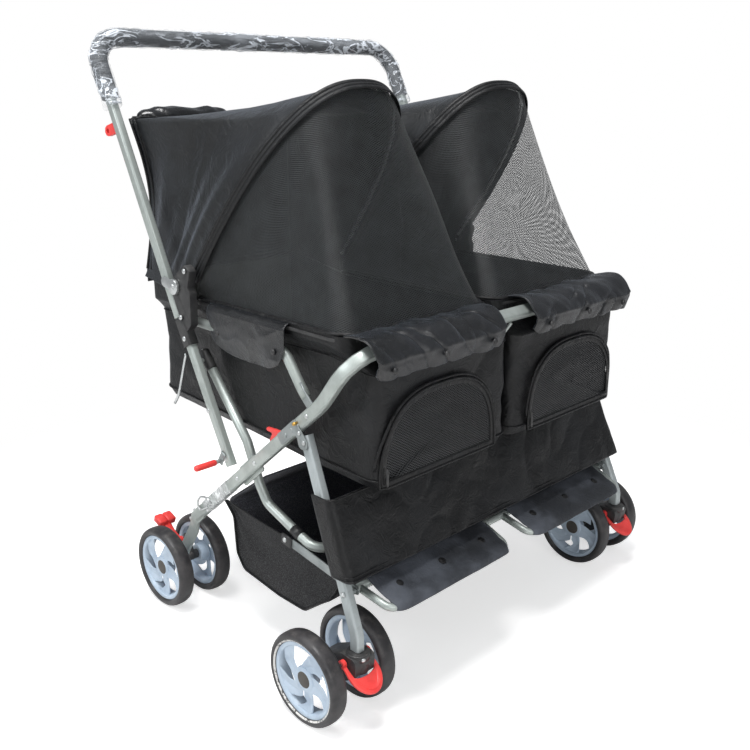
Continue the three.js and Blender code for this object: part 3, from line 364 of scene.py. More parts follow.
def knit_mesh(name, pitch, thread_width, dark, pale):
    """Black polyester knit that lets light through its holes."""
    made, tree, shader, where = start_material(name, 0.5, Sheen_Weight=0.1)
    knit = use_group(tree, "knit", where["UV"], Pitch=pitch, Width=thread_width)
    tone = noise_texture(tree, where["Object"], 40.0, 3.0, 0.6)
    plug(tree, blend_colour(tree, tone, dark, pale), shader["Base Color"])
    plug(tree, knit["Thread"], shader["Alpha"])
    plug(tree, bump(tree, knit["Height"], 0.0005, 0.6), shader["Normal"])
    return made


def satin_metal(name, pale, dark, roughness, metallic=0.85, scratches=0.5):
    """Satin powder-coated or plated tube with fine scratches and duller patches."""
    made, tree, shader, where = start_material(name, roughness, Metallic=metallic)
    grain = use_group(tree, "grain", where["Object"], Scale=1500.0, Patches=22.0)
    stretch = add_node(tree, "ShaderNodeMapping")
    plug(tree, where["Object"], stretch.inputs["Vector"])
    stretch.inputs["Scale"].default_value = (40, 900, 60)
    lines = noise_texture(tree, stretch.outputs[0], 1.0, 2.0, 0.7)
    worn = maths(tree, "MULTIPLY", ramp(tree, lines, 0.55, 0.8), scratches)
    colour = blend_colour(tree, maths(tree, "MULTIPLY", grain["Patch"], 0.5), pale, dark)
    plug(tree, blend_colour(tree, worn, colour, dark), shader["Base Color"])
    plug(tree, maths(tree, "MULTIPLY_ADD", grain["Patch"], 0.14, roughness), shader["Roughness"])
    plug(tree, bump(tree, grain["Height"], 0.0002, 0.25), shader["Normal"])
    return made


def moulded_plastic(name, base, dull, roughness, grain_depth=0.0003, dusty=0.15, specular=0.5):
    """Moulded plastic with a fine eroded grain, duller patches and a little dust."""
    made, tree, shader, where = start_material(name, roughness, Specular_IOR_Level=specular)
    grain = use_group(tree, "grain", where["Object"], Scale=1100.0, Patches=28.0)
    dust = use_group(tree, "dust", where["Object"], Scale=90.0, Amount=dusty)["Mask"]
    colour = blend_colour(tree, grain["Patch"], base, dull)
    plug(tree, blend_colour(tree, dust, colour, rgb(176, 172, 166)), shader["Base Color"])
    plug(tree, maths(tree, "MULTIPLY_ADD", grain["Patch"], 0.15, roughness), shader["Roughness"])
    plug(tree, bump(tree, grain["Height"], grain_depth, 0.4), shader["Normal"])
    return made


def tyre_rubber():
    """Solid rubber: dark and slightly shiny, greyed in patches where it has rolled."""
    made, tree, shader, where = start_material("tyre_rubber", 0.42, Specular_IOR_Level=0.45)
    grain = use_group(tree, "grain", where["Object"], Scale=700.0, Patches=26.0)
    dust = use_group(tree, "dust", where["Object"], Scale=70.0, Amount=0.25)["Mask"]
    colour = blend_colour(tree, grain["Patch"], rgb(44, 43, 45), rgb(66, 64, 65))
    plug(tree, blend_colour(tree, dust, colour, rgb(128, 122, 116)), shader["Base Color"])
    plug(tree, maths(tree, "MULTIPLY_ADD", grain["Patch"], 0.25, 0.36), shader["Roughness"])
    plug(tree, bump(tree, grain["Height"], 0.0004, 0.4), shader["Normal"])
    return made


def scuffed_rubber():
    """Rubber rubbed white in a ragged ring beside the rim."""
    made, tree, shader, where = start_material("tyre_scuffed", 0.6)
    rub = noise_texture(tree, where["Object"], 190.0, 5.0, 0.75, 0.5)
    broad = noise_texture(tree, where["Object"], 26.0, 2.0, 0.5)
    mask = ramp(tree, maths(tree, "MULTIPLY_ADD", broad, 0.5, rub), 0.63, 0.72)
    plug(tree, blend_colour(tree, mask, rgb(58, 56, 57), rgb(216, 214, 210)), shader["Base Color"])
    plug(tree, bump(tree, rub, 0.0008, 0.5), shader["Normal"])
    return made


def foam_rubber():
    """Closed-cell foam with its small cells showing."""
    made, tree, shader, where = start_material("grip_foam", 0.7)
    cells = add_node(tree, "ShaderNodeTexVoronoi")
    plug(tree, where["Object"], cells.inputs["Vector"])
    cells.inputs["Scale"].default_value = 900.0
    patch = noise_texture(tree, where["Object"], 30.0, 3.0, 0.6)
    plug(tree, blend_colour(tree, patch, rgb(34, 36, 38), rgb(58, 61, 64)), shader["Base Color"])
    plug(tree, bump(tree, cells.outputs["Distance"], 0.0006, 0.5), shader["Normal"])
    return made


def clear_film(name, haze, tint, scale=(16.0, 46.0, 46.0)):
    """Crumpled clear wrap: mostly open and hazy, with painted highlights where it turns opaque white along
    its long creases.
    """
    made, tree, shader, where = start_material(name, 0.14, Specular_IOR_Level=0.8)
    stretch = add_node(tree, "ShaderNodeMapping")
    plug(tree, where["Object"], stretch.inputs["Vector"])
    stretch.inputs["Scale"].default_value = scale
    crease = noise_texture(tree, stretch.outputs[0], 1.0, 3.0, 0.62, 1.1)
    ridges = maths(tree, "ABSOLUTE", maths(tree, "MULTIPLY_ADD", crease, 2.0, -1.0))
    lines = ramp(tree, maths(tree, "SUBTRACT", 1.0, ridges), 0.9, 0.99)
    broad = noise_texture(tree, stretch.outputs[0], 0.55, 2.0, 0.5, 0.4)
    # Painted highlight: the wrap turns opaque white along parts of its crease lines, as glints.
    painted_glint = maths(tree, "MULTIPLY", lines, ramp(tree, broad, 0.36, 0.58))
    cloudy = maths(tree, "MULTIPLY_ADD", ramp(tree, broad, 0.5, 0.72), haze * 1.6, haze)
    plug(tree, tint, shader["Base Color"])
    plug(tree, maths(tree, "MULTIPLY_ADD", painted_glint, 0.8, cloudy, clamp=True), shader["Alpha"])
    plug(tree, bump(tree, crease, 0.012, 1.0), shader["Normal"])
    return made


LOOKS = {
    "oxford": woven_cloth("black_oxford", rgb(14, 14, 15), rgb(25, 26, 28), 11.0, 0.3, sheen=0.05),
    "hood": woven_cloth("hood_oxford", rgb(22, 23, 24), rgb(36, 38, 41), 8.0, 0.3, sheen=0.4, roughness=0.4),
    "puffed": woven_cloth(
        "quilted_oxford", rgb(8, 9, 11), rgb(17, 19, 24), 9.0, 0.15, sheen=0.24, roughness=0.32, shine=0.7
    ),
    "pad": woven_cloth(
        "footrest_canvas",
        rgb(42, 44, 48),
        rgb(84, 88, 96),
        9.0,
        0.25,
        threads=900.0,
        sheen=0.5,
        roughness=0.6,
    ),
    "backrest": woven_cloth("backrest_cloth", rgb(58, 60, 59), rgb(74, 76, 73), 9.0, 0.2, sheen=0.1),
    "lining": woven_cloth("cabin_lining", rgb(7, 7, 8), rgb(12, 12, 14), 9.0, 0.3, sheen=0.02),
    "piping": woven_cloth(
        "edge_piping", rgb(9, 9, 10), rgb(18, 18, 20), 30.0, 0.2, threads=700.0, sheen=0.05
    ),
    "felt": felt_cloth("basket_felt", rgb(16, 16, 17), rgb(76, 76, 78)),
    # Painted light: the basket's inner faces get a much paler felt, so that its shaded inside reads lighter.
    "felt_inside_painted_light": felt_cloth("basket_inside_painted_light", rgb(84, 85, 92), rgb(150, 151, 158)),
    "mesh": knit_mesh("hood_mesh", 0.0042, 0.48, rgb(14, 15, 16), rgb(58, 62, 64)),
    "door_mesh": knit_mesh("door_mesh", 0.0040, 0.5, rgb(14, 15, 17), rgb(44, 46, 49)),
    "tube": satin_metal("satin_tube", rgb(180, 187, 183), rgb(146, 153, 149), 0.4, metallic=0.6),
    "leg": satin_metal("grey_leg_tube", rgb(174, 181, 182), rgb(148, 155, 156), 0.45, metallic=0.45),
    "steel": satin_metal("zinc_steel", rgb(205, 208, 208), rgb(165, 168, 168), 0.28, metallic=0.9),
    "brass": satin_metal("brass_pin", rgb(196, 158, 84), rgb(150, 116, 60), 0.3, metallic=0.95),
    "plate": satin_metal("grey_plate", rgb(150, 156, 156), rgb(120, 126, 126), 0.4, metallic=0.6),
    "rim": moulded_plastic("rim_plastic", rgb(182, 197, 212), rgb(166, 182, 199), 0.42, 0.0002, 0.08),
    "cap": moulded_plastic("hub_cap", rgb(66, 62, 58), rgb(84, 79, 74), 0.5, dusty=0.05),
    "red": moulded_plastic("coral_plastic", rgb(240, 72, 68), rgb(226, 60, 58), 0.35, 0.0002, 0.06),
    "black": moulded_plastic("black_plastic", rgb(40, 40, 41), rgb(58, 58, 58), 0.4),
    "tyre": tyre_rubber(),
    "scuffed": scuffed_rubber(),
    "foam": foam_rubber(),
    "film": clear_film("grip_film", 0.12, rgb(226, 232, 240), (14.0, 38.0, 38.0)),
    "sleeve": clear_film("tube_sleeve", 0.42, rgb(240, 243, 243), (90.0, 60.0, 60.0)),
}

# ---- Making pieces ----


def placed(name, bm, material):
    """Makes an object at the origin from a bmesh in metres."""
    data = bpy.data.meshes.new(name)
    bm.to_mesh(data)
    bm.free()
    piece = bpy.data.objects.new(name, data)
    data.materials.append(material)
    scene.collection.objects.link(piece)
    return piece


def make_piece(name, bm, look, body=None, solid=0.0, normals=True):
    """Turns a bmesh of part millimetres into a smooth-shaded piece, with a wall if it is a sheet."""
    to_metres = Matrix.Scale(0.001, 4) @ Matrix.Translation((0, SHIFT_Y, 0))
    bmesh.ops.transform(bm, matrix=to_metres, verts=bm.verts)
    if normals:
        bmesh.ops.recalc_face_normals(bm, faces=bm.faces)
    for face in bm.faces:
        face.smooth = True
    piece = placed(name, bm, LOOKS[look])
    if solid:
        wall = piece.modifiers.new("wall", "SOLIDIFY")
        wall.thickness, wall.offset = solid / 1000, -1
    if body:
        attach(piece, body)
    return piece


def sharp_by_angle(piece, angle):
    """Splits the shading at edges sharper than the angle."""
    split = piece.modifiers.new("crisp", "EDGE_SPLIT")
    split.split_angle = math.radians(angle)
    split.use_edge_sharp = False


def refined(node, look, width, segments=2):
    """A merged copy of a CAD node with its edges rounded to width, in place of the node."""
    source = frame["nodes"][node]
    bm = bmesh.new()
    bm.from_mesh(source.data)
    bmesh.ops.remove_doubles(bm, verts=bm.verts, dist=1e-5)
    bmesh.ops.dissolve_limit(bm, angle_limit=math.radians(1.0), verts=bm.verts, edges=bm.edges)
    for face in bm.faces:
        face.smooth = True
    piece = placed(node + "_fine", bm, LOOKS[look])
    bevel = piece.modifiers.new("round", "BEVEL")
    bevel.width, bevel.segments = width / 1000, segments
    bevel.limit_method, bevel.angle_limit = "ANGLE", math.radians(35.0)
    bevel.use_clamp_overlap = True
    sharp_by_angle(piece, 30.0)
    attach(piece, source["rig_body"])
    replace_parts(piece, node)


def cloth_mesh(columns, rows, place, size, lift=None, flip=False):
    """A grid bent to place(u, v), with u and v from 0 to 1, and raised off it by lift(u, v).

    size is the cloth's width and length in millimetres, and its UV map is in metres.
    """
    bm = bmesh.new()
    uv = bm.loops.layers.uv.new("UVMap")
    bmesh.ops.create_grid(bm, x_segments=columns, y_segments=rows, size=0.5, calc_uvs=True)
    step = 1e-3
    for vert in bm.verts:
        u, v = vert.co.x + 0.5, vert.co.y + 0.5
        here = place(u, v)
        if lift:
            du = place(min(u + step, 1), v) - place(max(u - step, 0), v)
            dv = place(u, min(v + step, 1)) - place(u, max(v - step, 0))
            out = du.cross(dv)
            if out.length > 1e-9:
                here = here + out.normalized() * lift(u, v)
        vert.co = here
    for face in bm.faces:
        for loop in face.loops:
            loop[uv].uv.x *= size[0] / 1000
            loop[uv].uv.y *= size[1] / 1000
    bmesh.ops.remove_doubles(bm, verts=bm.verts, dist=1e-4)
    if flip:
        bmesh.ops.reverse_faces(bm, faces=bm.faces)
    return bm


def bend(corners, radii, steps=6):
    """A path through corners, each inner one rounded to its radius."""
    path = [Vector(corners[0])]
    for i in range(1, len(corners) - 1):
        a, b, c = (Vector(p) for p in corners[i - 1 : i + 2])
        radius = radii[i - 1] if isinstance(radii, (list, tuple)) else radii
        arriving, leaving = (b - a).normalized(), (c - b).normalized()
        turn = arriving.angle(leaving, 0.0)
        if turn < 1e-3 or radius <= 0:
            path.append(b)
            continue
        cut = min(radius * math.tan(turn / 2), 0.49 * min((b - a).length, (c - b).length))
        fitted = cut / math.tan(turn / 2)
        centre = b + (leaving - arriving).normalized() * (fitted / math.cos(turn / 2))
        axis = arriving.cross(leaving).normalized()
        spoke = b - arriving * cut - centre
        path += [centre + Matrix.Rotation(turn * k / steps, 3, axis) @ spoke for k in range(steps + 1)]
    path.append(Vector(corners[-1]))
    return path


def smooth_path(points, per_span=6):
    """A Catmull-Rom curve through points."""
    points = [Vector(p) for p in points]
    last = len(points) - 1
    path = []
    for i in range(last):
        p0, p1, p2, p3 = (points[min(max(i + k - 1, 0), last)] for k in range(4))
        square = 2 * p0 - 5 * p1 + 4 * p2 - p3
        cube = 3 * p1 - p0 - 3 * p2 + p3
        for k in range(per_span):
            t = k / per_span
            path.append(0.5 * (2 * p1 + (p2 - p0) * t + square * t**2 + cube * t**3))
    path.append(points[-1])
    return path


def round_section(radius, sides=16):
    turns = [2 * math.pi * i / sides for i in range(sides)]
    return [(radius * math.cos(turn), radius * math.sin(turn)) for turn in turns]


def box_section(width, height, corner, steps=3):
    """A rectangle of across and up offsets with round corners."""
    points = []
    for quarter, (sx, sy) in enumerate(((1, 1), (-1, 1), (-1, -1), (1, -1))):
        for k in range(steps + 1):
            turn = math.pi / 2 * (quarter + k / steps)
            points.append(
                (
                    sx * (width / 2 - corner) + corner * math.cos(turn),
                    sy * (height / 2 - corner) + corner * math.sin(turn),
                )
            )
    return points


def sweep_mesh(path, section, across=(1, 0, 0), closed=False, taper=None, bm=None):
    """Extrudes a section along a path without twist: across is the section's first direction at the start."""
    bm = bm or bmesh.new()
    count = len(path)
    across = Vector(across)
    frames = []
    for i, here in enumerate(path):
        if closed:
            along = path[(i + 1) % count] - path[i - 1]
        else:
            along = path[min(i + 1, count - 1)] - path[max(i - 1, 0)]
        along.normalize()
        if abs(across.dot(along)) > 0.95:
            across = Vector((0, 0, 1))
        across = (across - along * across.dot(along)).normalized()
        up = along.cross(across)
        grow = taper(i / (count - 1)) if taper else 1.0
        basis = Matrix((across * grow, up * grow, along)).transposed().to_4x4()
        frames.append(Matrix.Translation(here) @ basis)
    ring = bmesh.ops.create_circle(bm, segments=len(section), radius=1.0)["verts"]
    for vert, (a, b) in zip(ring, section):
        vert.co = frames[0] @ Vector((a, b, 0))
    edges = [e for e in bm.edges if e.verts[0] in ring and e.verts[1] in ring]
    first = list(edges)
    for before, after in zip(frames, frames[1:]):
        made = bmesh.ops.extrude_edge_only(bm, edges=edges)["geom"]
        edges = [e for e in made if isinstance(e, bmesh.types.BMEdge)]
        verts = [v for v in made if isinstance(v, bmesh.types.BMVert)]
        bmesh.ops.transform(bm, matrix=after @ before.inverted(), verts=verts)
    if closed:
        bmesh.ops.bridge_loops(bm, edges=first + edges)
    else:
        bmesh.ops.holes_fill(bm, edges=first + edges, sides=0)
    return bm


def sweep(name, path, section, look, body, across=(1, 0, 0), **how):
    return make_piece(name, sweep_mesh(path, section, across, **how), look, body)


def stepped(*sizes):
    """A taper that gives each point of a path its own size."""
    return lambda t: sizes[round(t * (len(sizes) - 1))]


def revolve_mesh(profile, centre, facing=1, steps=72, bm=None):
    """Spins a closed profile of (radius, x) points about the X axis through centre."""
    bm = bm or bmesh.new()
    verts = [bm.verts.new((x * facing + centre[0], centre[1], centre[2] + r)) for r, x in profile]
    edges = [bm.edges.new((verts[i], verts[(i + 1) % len(verts)])) for i in range(len(verts))]
    bmesh.ops.spin(
        bm, geom=verts + edges, cent=centre, axis=(1, 0, 0), angle=2 * math.pi, steps=steps, use_merge=True
    )
    return bm


def dome_rivet(bm, centre, radius, height, axis=(1, 0, 0)):
    """Adds a low round rivet head standing on centre."""
    turn = Vector((0, 0, 1)).rotation_difference(Vector(axis)).to_matrix().to_4x4()
    made = bmesh.ops.create_uvsphere(bm, u_segments=16, v_segments=8, radius=1.0)["verts"]
    place = Matrix.Translation(centre) @ turn @ Matrix.Diagonal((radius, radius, height, 1))
    bmesh.ops.transform(bm, matrix=place, verts=made)


def line_inside(piece, look):
    """Gives a cloth piece's inner face a look of its own."""
    piece.data.materials.append(LOOKS[look])
    piece.modifiers["wall"].material_offset = 1


def rivets(name, places, radius, height, look, body, axis=(1, 0, 0)):
    bm = bmesh.new()
    for place in places:
        dome_rivet(bm, place, radius, height, axis)
    return make_piece(name, bm, look, body)


def wobble(x, y, z=0.0, seed=0.0):
    return noise.noise(Vector((x, y, z + 17.3 * seed)))


def crease(x, y, z=0.0, seed=0.0):
    """The sharp fold lines of soft cloth: 1 along them, 0 away from them."""
    return max(0.0, 1 - 3.4 * abs(wobble(x, y, z, seed))) ** 2


# ---- Outlines shared by cloth pieces ----


def rim_z(y):
    if y > 0:
        return mix(RIM_Z_HINGE, RIM_Z_REAR, y / CABIN_REAR_Y)
    return mix(RIM_Z_HINGE, RIM_Z_FRONT, y / CABIN_RIM_FRONT_Y)


def floor_z(y):
    return mix(FLOOR_Z_FRONT, FLOOR_Z_REAR, (y - CABIN_FRONT_Y) / (CABIN_REAR_Y - CABIN_FRONT_Y))


def ledge_z(y):
    return mix(LEDGE_FRONT_Z, LEDGE_Z, min((y - CABIN_FRONT_Y) / 90, 1.0))


def hoop_point(side, t, ahead=0.0, grow=0.0):
    """A point of a hoop at share t from its outer foot to its inner foot."""
    turn = math.pi * min(max(t, 0.0), 1.0)
    c, s = math.cos(turn), max(math.sin(turn), 0.0)
    across = math.copysign(abs(c) ** (2 / HOOP_POWER), c)
    rise = (HOOP_HEIGHT + grow) * s ** (2 / HOOP_POWER)
    back, up = -math.sin(HOOP_LEAN), math.cos(HOOP_LEAN)
    return Vector(
        (
            side * (HOOP_MID_X + across * (HOOP_HALF_WIDTH + grow)),
            HOOP_FOOT[0] + back * rise - ahead * up,
            HOOP_FOOT[1] + up * rise + ahead * back,
        )
    )


def sampled(path):
    """A function from a share of a path's length to its point."""
    lengths = [0.0]
    for a, b in zip(path, path[1:]):
        lengths.append(lengths[-1] + (b - a).length)

    def point(share):
        want = min(max(share, 0.0), 1.0) * lengths[-1]
        low = 0
        high = len(lengths) - 1
        while high - low > 1:
            middle = (low + high) // 2
            if lengths[middle] <= want:
                low = middle
            else:
                high = middle
        gap = lengths[high] - lengths[low]
        return path[low].lerp(path[high], (want - lengths[low]) / gap if gap else 0.0)

    return point


def even(path, step):
    """The same path with its points about a step apart."""
    length = sum((b - a).length for a, b in zip(path, path[1:]))
    count = max(2, round(length / step))
    point = sampled(path)
    return [point(i / count) for i in range(count + 1)]


def rim_path(side, margin=4.0, lift=0.8, rear=0.0):
    """The cabin's rim from its outer hinge round the front to its inner hinge."""
    x0, x1 = CABIN_IN_X + margin, CABIN_RIM_X - margin
    front = CABIN_RIM_FRONT_Y + margin
    loop = bend([(x1, rear, 0), (x1, front, 0), (x0, front, 0), (x0, rear, 0)], 34, 10)
    return [Vector((side * p.x, p.y, rim_z(p.y) + lift)) for p in loop]


RIMS = {side: sampled(rim_path(side)) for side, _, _ in SIDES}


def rear_arch(t):
    """The hood's rear edge at share t from the left foot over the top to the right foot."""
    way = -1 if t < 0.5 else 1
    s = min(t, 1 - t)
    if s >= HOOD_CORNER:
        return Vector((way * HOOD_HALF_WIDTH * (0.5 - s) / (0.5 - HOOD_CORNER), HOOD_REAR_Y, HOOD_TOP_Z))
    up = s / HOOD_CORNER
    pull = HOOD_WAIST * math.sin(math.pi * up)
    return Vector(
        (way * (HOOD_HALF_WIDTH - 12 * (1 - up) - pull), HOOD_REAR_Y, mix(HOOD_FOOT_Z, HOOD_TOP_Z, up))
    )


# ---- Camera, floor and light ----


def set_camera():
    yaw, pitch, roll = 0.782, 0.296, -0.006
    forward = Vector((math.sin(yaw) * math.cos(pitch), math.cos(yaw) * math.cos(pitch), -math.sin(pitch)))
    right = Vector((math.cos(yaw), -math.sin(yaw), 0))
    up = right.cross(forward)
    tilted_right = right * math.cos(roll) + up * math.sin(roll)
    tilted_up = up * math.cos(roll) - right * math.sin(roll)
    lens = bpy.data.cameras.new("camera")
    lens.lens, lens.sensor_width = 44.11, 36.0
    lens.clip_start, lens.clip_end = 0.05, 60.0
    camera = bpy.data.objects.new("camera", lens)
    basis = Matrix((tilted_right, tilted_up, -forward)).transposed().to_4x4()
    camera.matrix_world = Matrix.Translation(at(-1163.9, -1245.9, 907.1)) @ basis
    scene.collection.objects.link(camera)
    scene.camera = camera


def area_light(name, place, target, size, power, colour=(1, 1, 1)):
    lamp = bpy.data.lights.new(name, "AREA")
    lamp.shape, lamp.size, lamp.energy, lamp.color = "DISK", size, power, colour
    made = bpy.data.objects.new(name, lamp)
    made.location = place
    made.rotation_euler = (Vector(target) - Vector(place)).to_track_quat("-Z", "Y").to_euler()
    scene.collection.objects.link(made)


def set_world():
    world = bpy.data.worlds.new("studio")
    world.use_nodes = True
    scene.world = world
    tree = world.node_tree
    tree.nodes.clear()
    path = add_node(tree, "ShaderNodeLightPath").outputs
    seen = maths(tree, "MAXIMUM", path["Is Camera Ray"], path["Is Transmission Ray"])
    shown = add_node(tree, "ShaderNodeBackground")
    shown.inputs["Color"].default_value = (1, 1, 1, 1)
    lit = add_node(tree, "ShaderNodeBackground")
    lit.inputs["Color"].default_value = (0.93, 0.96, 1.0, 1)
    lit.inputs["Strength"].default_value = 0.34
    choose = add_node(tree, "ShaderNodeMixShader")
    plug(tree, seen, choose.inputs[0])
    plug(tree, lit.outputs[0], choose.inputs[1])
    plug(tree, shown.outputs[0], choose.inputs[2])
    plug(tree, choose.outputs[0], add_node(tree, "ShaderNodeOutputWorld").inputs["Surface"])


def make_floor():
    """A wide pale floor that keeps the stroller's shadow and runs out to plain white away from it."""
    material = bpy.data.materials.new("floor_paint")
    material.use_nodes = True
    tree = material.node_tree
    tree.nodes.clear()
    seen = add_node(tree, "ShaderNodeLightPath").outputs["Is Camera Ray"]
    paint = add_node(tree, "ShaderNodeBsdfDiffuse")
    paint.inputs["Color"].default_value = (0.86, 0.85, 0.84, 1)
    glow = add_node(tree, "ShaderNodeEmission")
    plug(tree, maths(tree, "MULTIPLY", seen, 0.56), glow.inputs["Strength"])
    both = add_node(tree, "ShaderNodeAddShader")
    plug(tree, paint.outputs[0], both.inputs[0])
    plug(tree, glow.outputs[0], both.inputs[1])
    reach = add_node(tree, "ShaderNodeVectorMath", operation="LENGTH")
    plug(tree, add_node(tree, "ShaderNodeNewGeometry").outputs["Position"], reach.inputs[0])
    away = ramp(tree, reach.outputs["Value"], 0.62, 1.25)
    choose = add_node(tree, "ShaderNodeMixShader")
    plug(tree, maths(tree, "MULTIPLY", away, seen), choose.inputs[0])
    plug(tree, both.outputs[0], choose.inputs[1])
    plug(tree, add_node(tree, "ShaderNodeEmission").outputs[0], choose.inputs[2])
    plug(tree, choose.outputs[0], add_node(tree, "ShaderNodeOutputMaterial").inputs["Surface"])
    bm = bmesh.new()
    bmesh.ops.create_grid(bm, x_segments=2, y_segments=2, size=14.0)
    placed("floor", bm, material)


set_camera()
set_world()
make_floor()
area_light("overhead", (-0.9, -0.2, 3.6), (0, 0.1, 0.4), 1.5, 112)
area_light("window", (-3.4, 1.0, 2.3), (0, 0, 0.5), 1.8, 50, (0.95, 0.98, 1.0))
area_light("fill", (-1.4, -3.6, 1.9), (0, 0, 0.4), 2.2, 38)
scene.view_settings.view_transform = "Standard"


# ---- Wheels ----


# Outlines that are turned about a wheel's axle, as (radius, distance outwards from the wheel's middle).
TYRE_BEAD = [(61.8, 12.2), (64.5, 14.0), (67.8, 14.9)]
TYRE_SHOULDER = TYRE_BEAD + [(70.6, 14.1), (72.9, 11.9), (74.2, 8.8), (74.9, 4.6)]
RIM_LIP = [(61.4, 10.8), (60.2, 11.3)]
RIM_WELL = [(55.6, 11.0), (54.0, 9.6), (52.6, 3.0), (52.2, -3.0), (53.6, -9.6), (55.6, -11.0)]
RIM_CHANNEL = RIM_LIP + RIM_WELL + [(r, -x) for r, x in reversed(RIM_LIP)]
HUB_FACE = [(0.01, 7.0), (11.4, 7.0), (12.2, 8.4), (17.2, 8.8), (19.6, 7.6), (21.0, 3.5), (17.4, 2.0)]
HUB_BACK = [(16.4, -10.4), (15.4, -10.9), (6.0, -10.9), (5.4, -10.4), (5.4, -5.0), (0.01, -5.0)]
SCUFF_R, SCUFF_FROM = 65.2, 10  # the scuffed ring lies inside this radius and this far out from the middle
SPOKES, SPOKE_FROM, SPOKE_TO = 5, 15.0, 54.0


def tyre(name, centre, facing, body, scuffed):
    """A round-shouldered solid tyre, which may be rubbed white round its rim."""
    profile = TYRE_SHOULDER + [(WHEEL_R, 0.0)] + [(r, -x) for r, x in reversed(TYRE_SHOULDER)]
    piece = make_piece(name + "_rubber", revolve_mesh(profile, Vector(centre), facing), "tyre", body)
    if scuffed:
        piece.data.materials.append(LOOKS["scuffed"])
        for polygon in piece.data.polygons:
            place = polygon.center * 1000 - Vector((centre[0], centre[1] + SHIFT_Y, centre[2]))
            if math.hypot(place.y, place.z) < SCUFF_R and place.x * facing > SCUFF_FROM:
                polygon.material_index = 1
    return piece


def spoke(bm, start):
    """Adds a spoke with a dished face, which leans on from its start as it runs out to the channel."""
    grid = bmesh.ops.create_grid(bm, x_segments=8, y_segments=14, size=0.5)["verts"]
    for vert in grid:
        a, b = vert.co.x, vert.co.y + 0.5
        radius = mix(SPOKE_FROM, SPOKE_TO, b)
        waist = mix(17.0, 14.5, math.sin(math.pi * min(b * 1.15, 1.0)))
        width = waist + 12.0 * smoothstep(0.5, 1.0, b)
        lean = start + 0.62 * b**1.3 + a * width / radius
        depth = mix(8.2, 4.4, math.sin(math.pi * b * 0.9)) - 1.6 * (1 - 4 * a * a) + 2.4 * b
        vert.co = Vector((depth, radius * math.cos(lean), radius * math.sin(lean)))
    faces = [f for f in bm.faces if all(v in grid for v in f.verts)]
    bmesh.ops.solidify(bm, geom=faces, thickness=13.0)


def rim(name, centre, facing, body):
    """A five-spoked rim: deep channel, swept spokes with dished faces, closed hub with a dark cap."""
    bm = revolve_mesh(RIM_CHANNEL, Vector((0, 0, 0)))
    revolve_mesh(HUB_FACE + HUB_BACK, Vector((0, 0, 0)), bm=bm)
    for index in range(SPOKES):
        spoke(bm, 2 * math.pi * index / SPOKES + 0.35)
    bmesh.ops.recalc_face_normals(bm, faces=bm.faces)
    bmesh.ops.scale(bm, vec=(facing, 1, 1), verts=bm.verts)
    bmesh.ops.translate(bm, vec=centre, verts=bm.verts)
    piece = make_piece(name + "_moulding", bm, "rim", body)
    sharp_by_angle(piece, 40.0)
    cap = bmesh.new()
    bmesh.ops.create_uvsphere(cap, u_segments=40, v_segments=12, radius=1.0)
    turn = Matrix.Rotation(math.pi / 2, 4, "Y")
    place = Matrix.Translation((centre[0] + facing * 6.8, centre[1], centre[2]))
    bmesh.ops.transform(cap, matrix=place @ turn @ Matrix.Diagonal((14.6, 14.6, 4.2, 1)), verts=cap.verts)
    make_piece(name + "_cap", cap, "cap", body)
    return piece


def wheel(end, place, side, mark):
    mid, spread = FRONT_WHEELS if end == "front" else REAR_WHEELS
    centre_y, centre_z = FRONT_AXLE if end == "front" else REAR_AXLE
    way = 1 if place == "outer" else -1
    centre = (side * (mid + way * spread), centre_y, centre_z)
    body = f"{end}_wheel_{place}_{mark}"
    name = f"{end}_{place}_{mark}"
    facing = side * way
    near = end == "front" and place == "outer" and side < 0
    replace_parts(tyre("tyre_" + name, centre, facing, body, near), f"{end}_tyre_{place}_{mark}")
    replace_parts(rim("rim_" + name, centre, facing, body), f"{end}_rim_{place}_{mark}")


for side, mark, _ in SIDES:
    for end in ("front", "rear"):
        for place in ("outer", "inner"):
            wheel(end, place, side, mark)


# ---- Tubes, plates and fittings ----

for side, mark, word in SIDES:
    refined(f"caster_housing_{mark}", "black", 1.6, 3)
    refined(f"rear_axle_{mark}", "black", 1.2)
    refined(f"leg_bracket_{mark}", "plate", 0.4)
    refined(f"link_bar_{mark}", "plate", 0.5)
    refined(f"hinge_housing_{mark}", "black", 1.4, 3)
    refined(f"handle_pivot_{mark}", "steel", 0.6)
    refined(f"release_slider_{mark}", "red", 1.0, 3)
    refined(f"pusher_tube_{mark}", "tube", 0.8)
    refined(f"front_leg_{mark}", "leg", 0.8)
refined("main_frame_tube", "tube", 0.8)
refined("handle_tube", "tube", 0.8)
refined("storage_hook", "red", 1.0, 3)


LOCK_PIVOT, LOCK_TIP = (-384, 109), (-427, 73)
PEDAL_PIVOT, PEDAL_TIP = (127, 106), (171, 136)
LEVER_PIVOT = (-76, 336)


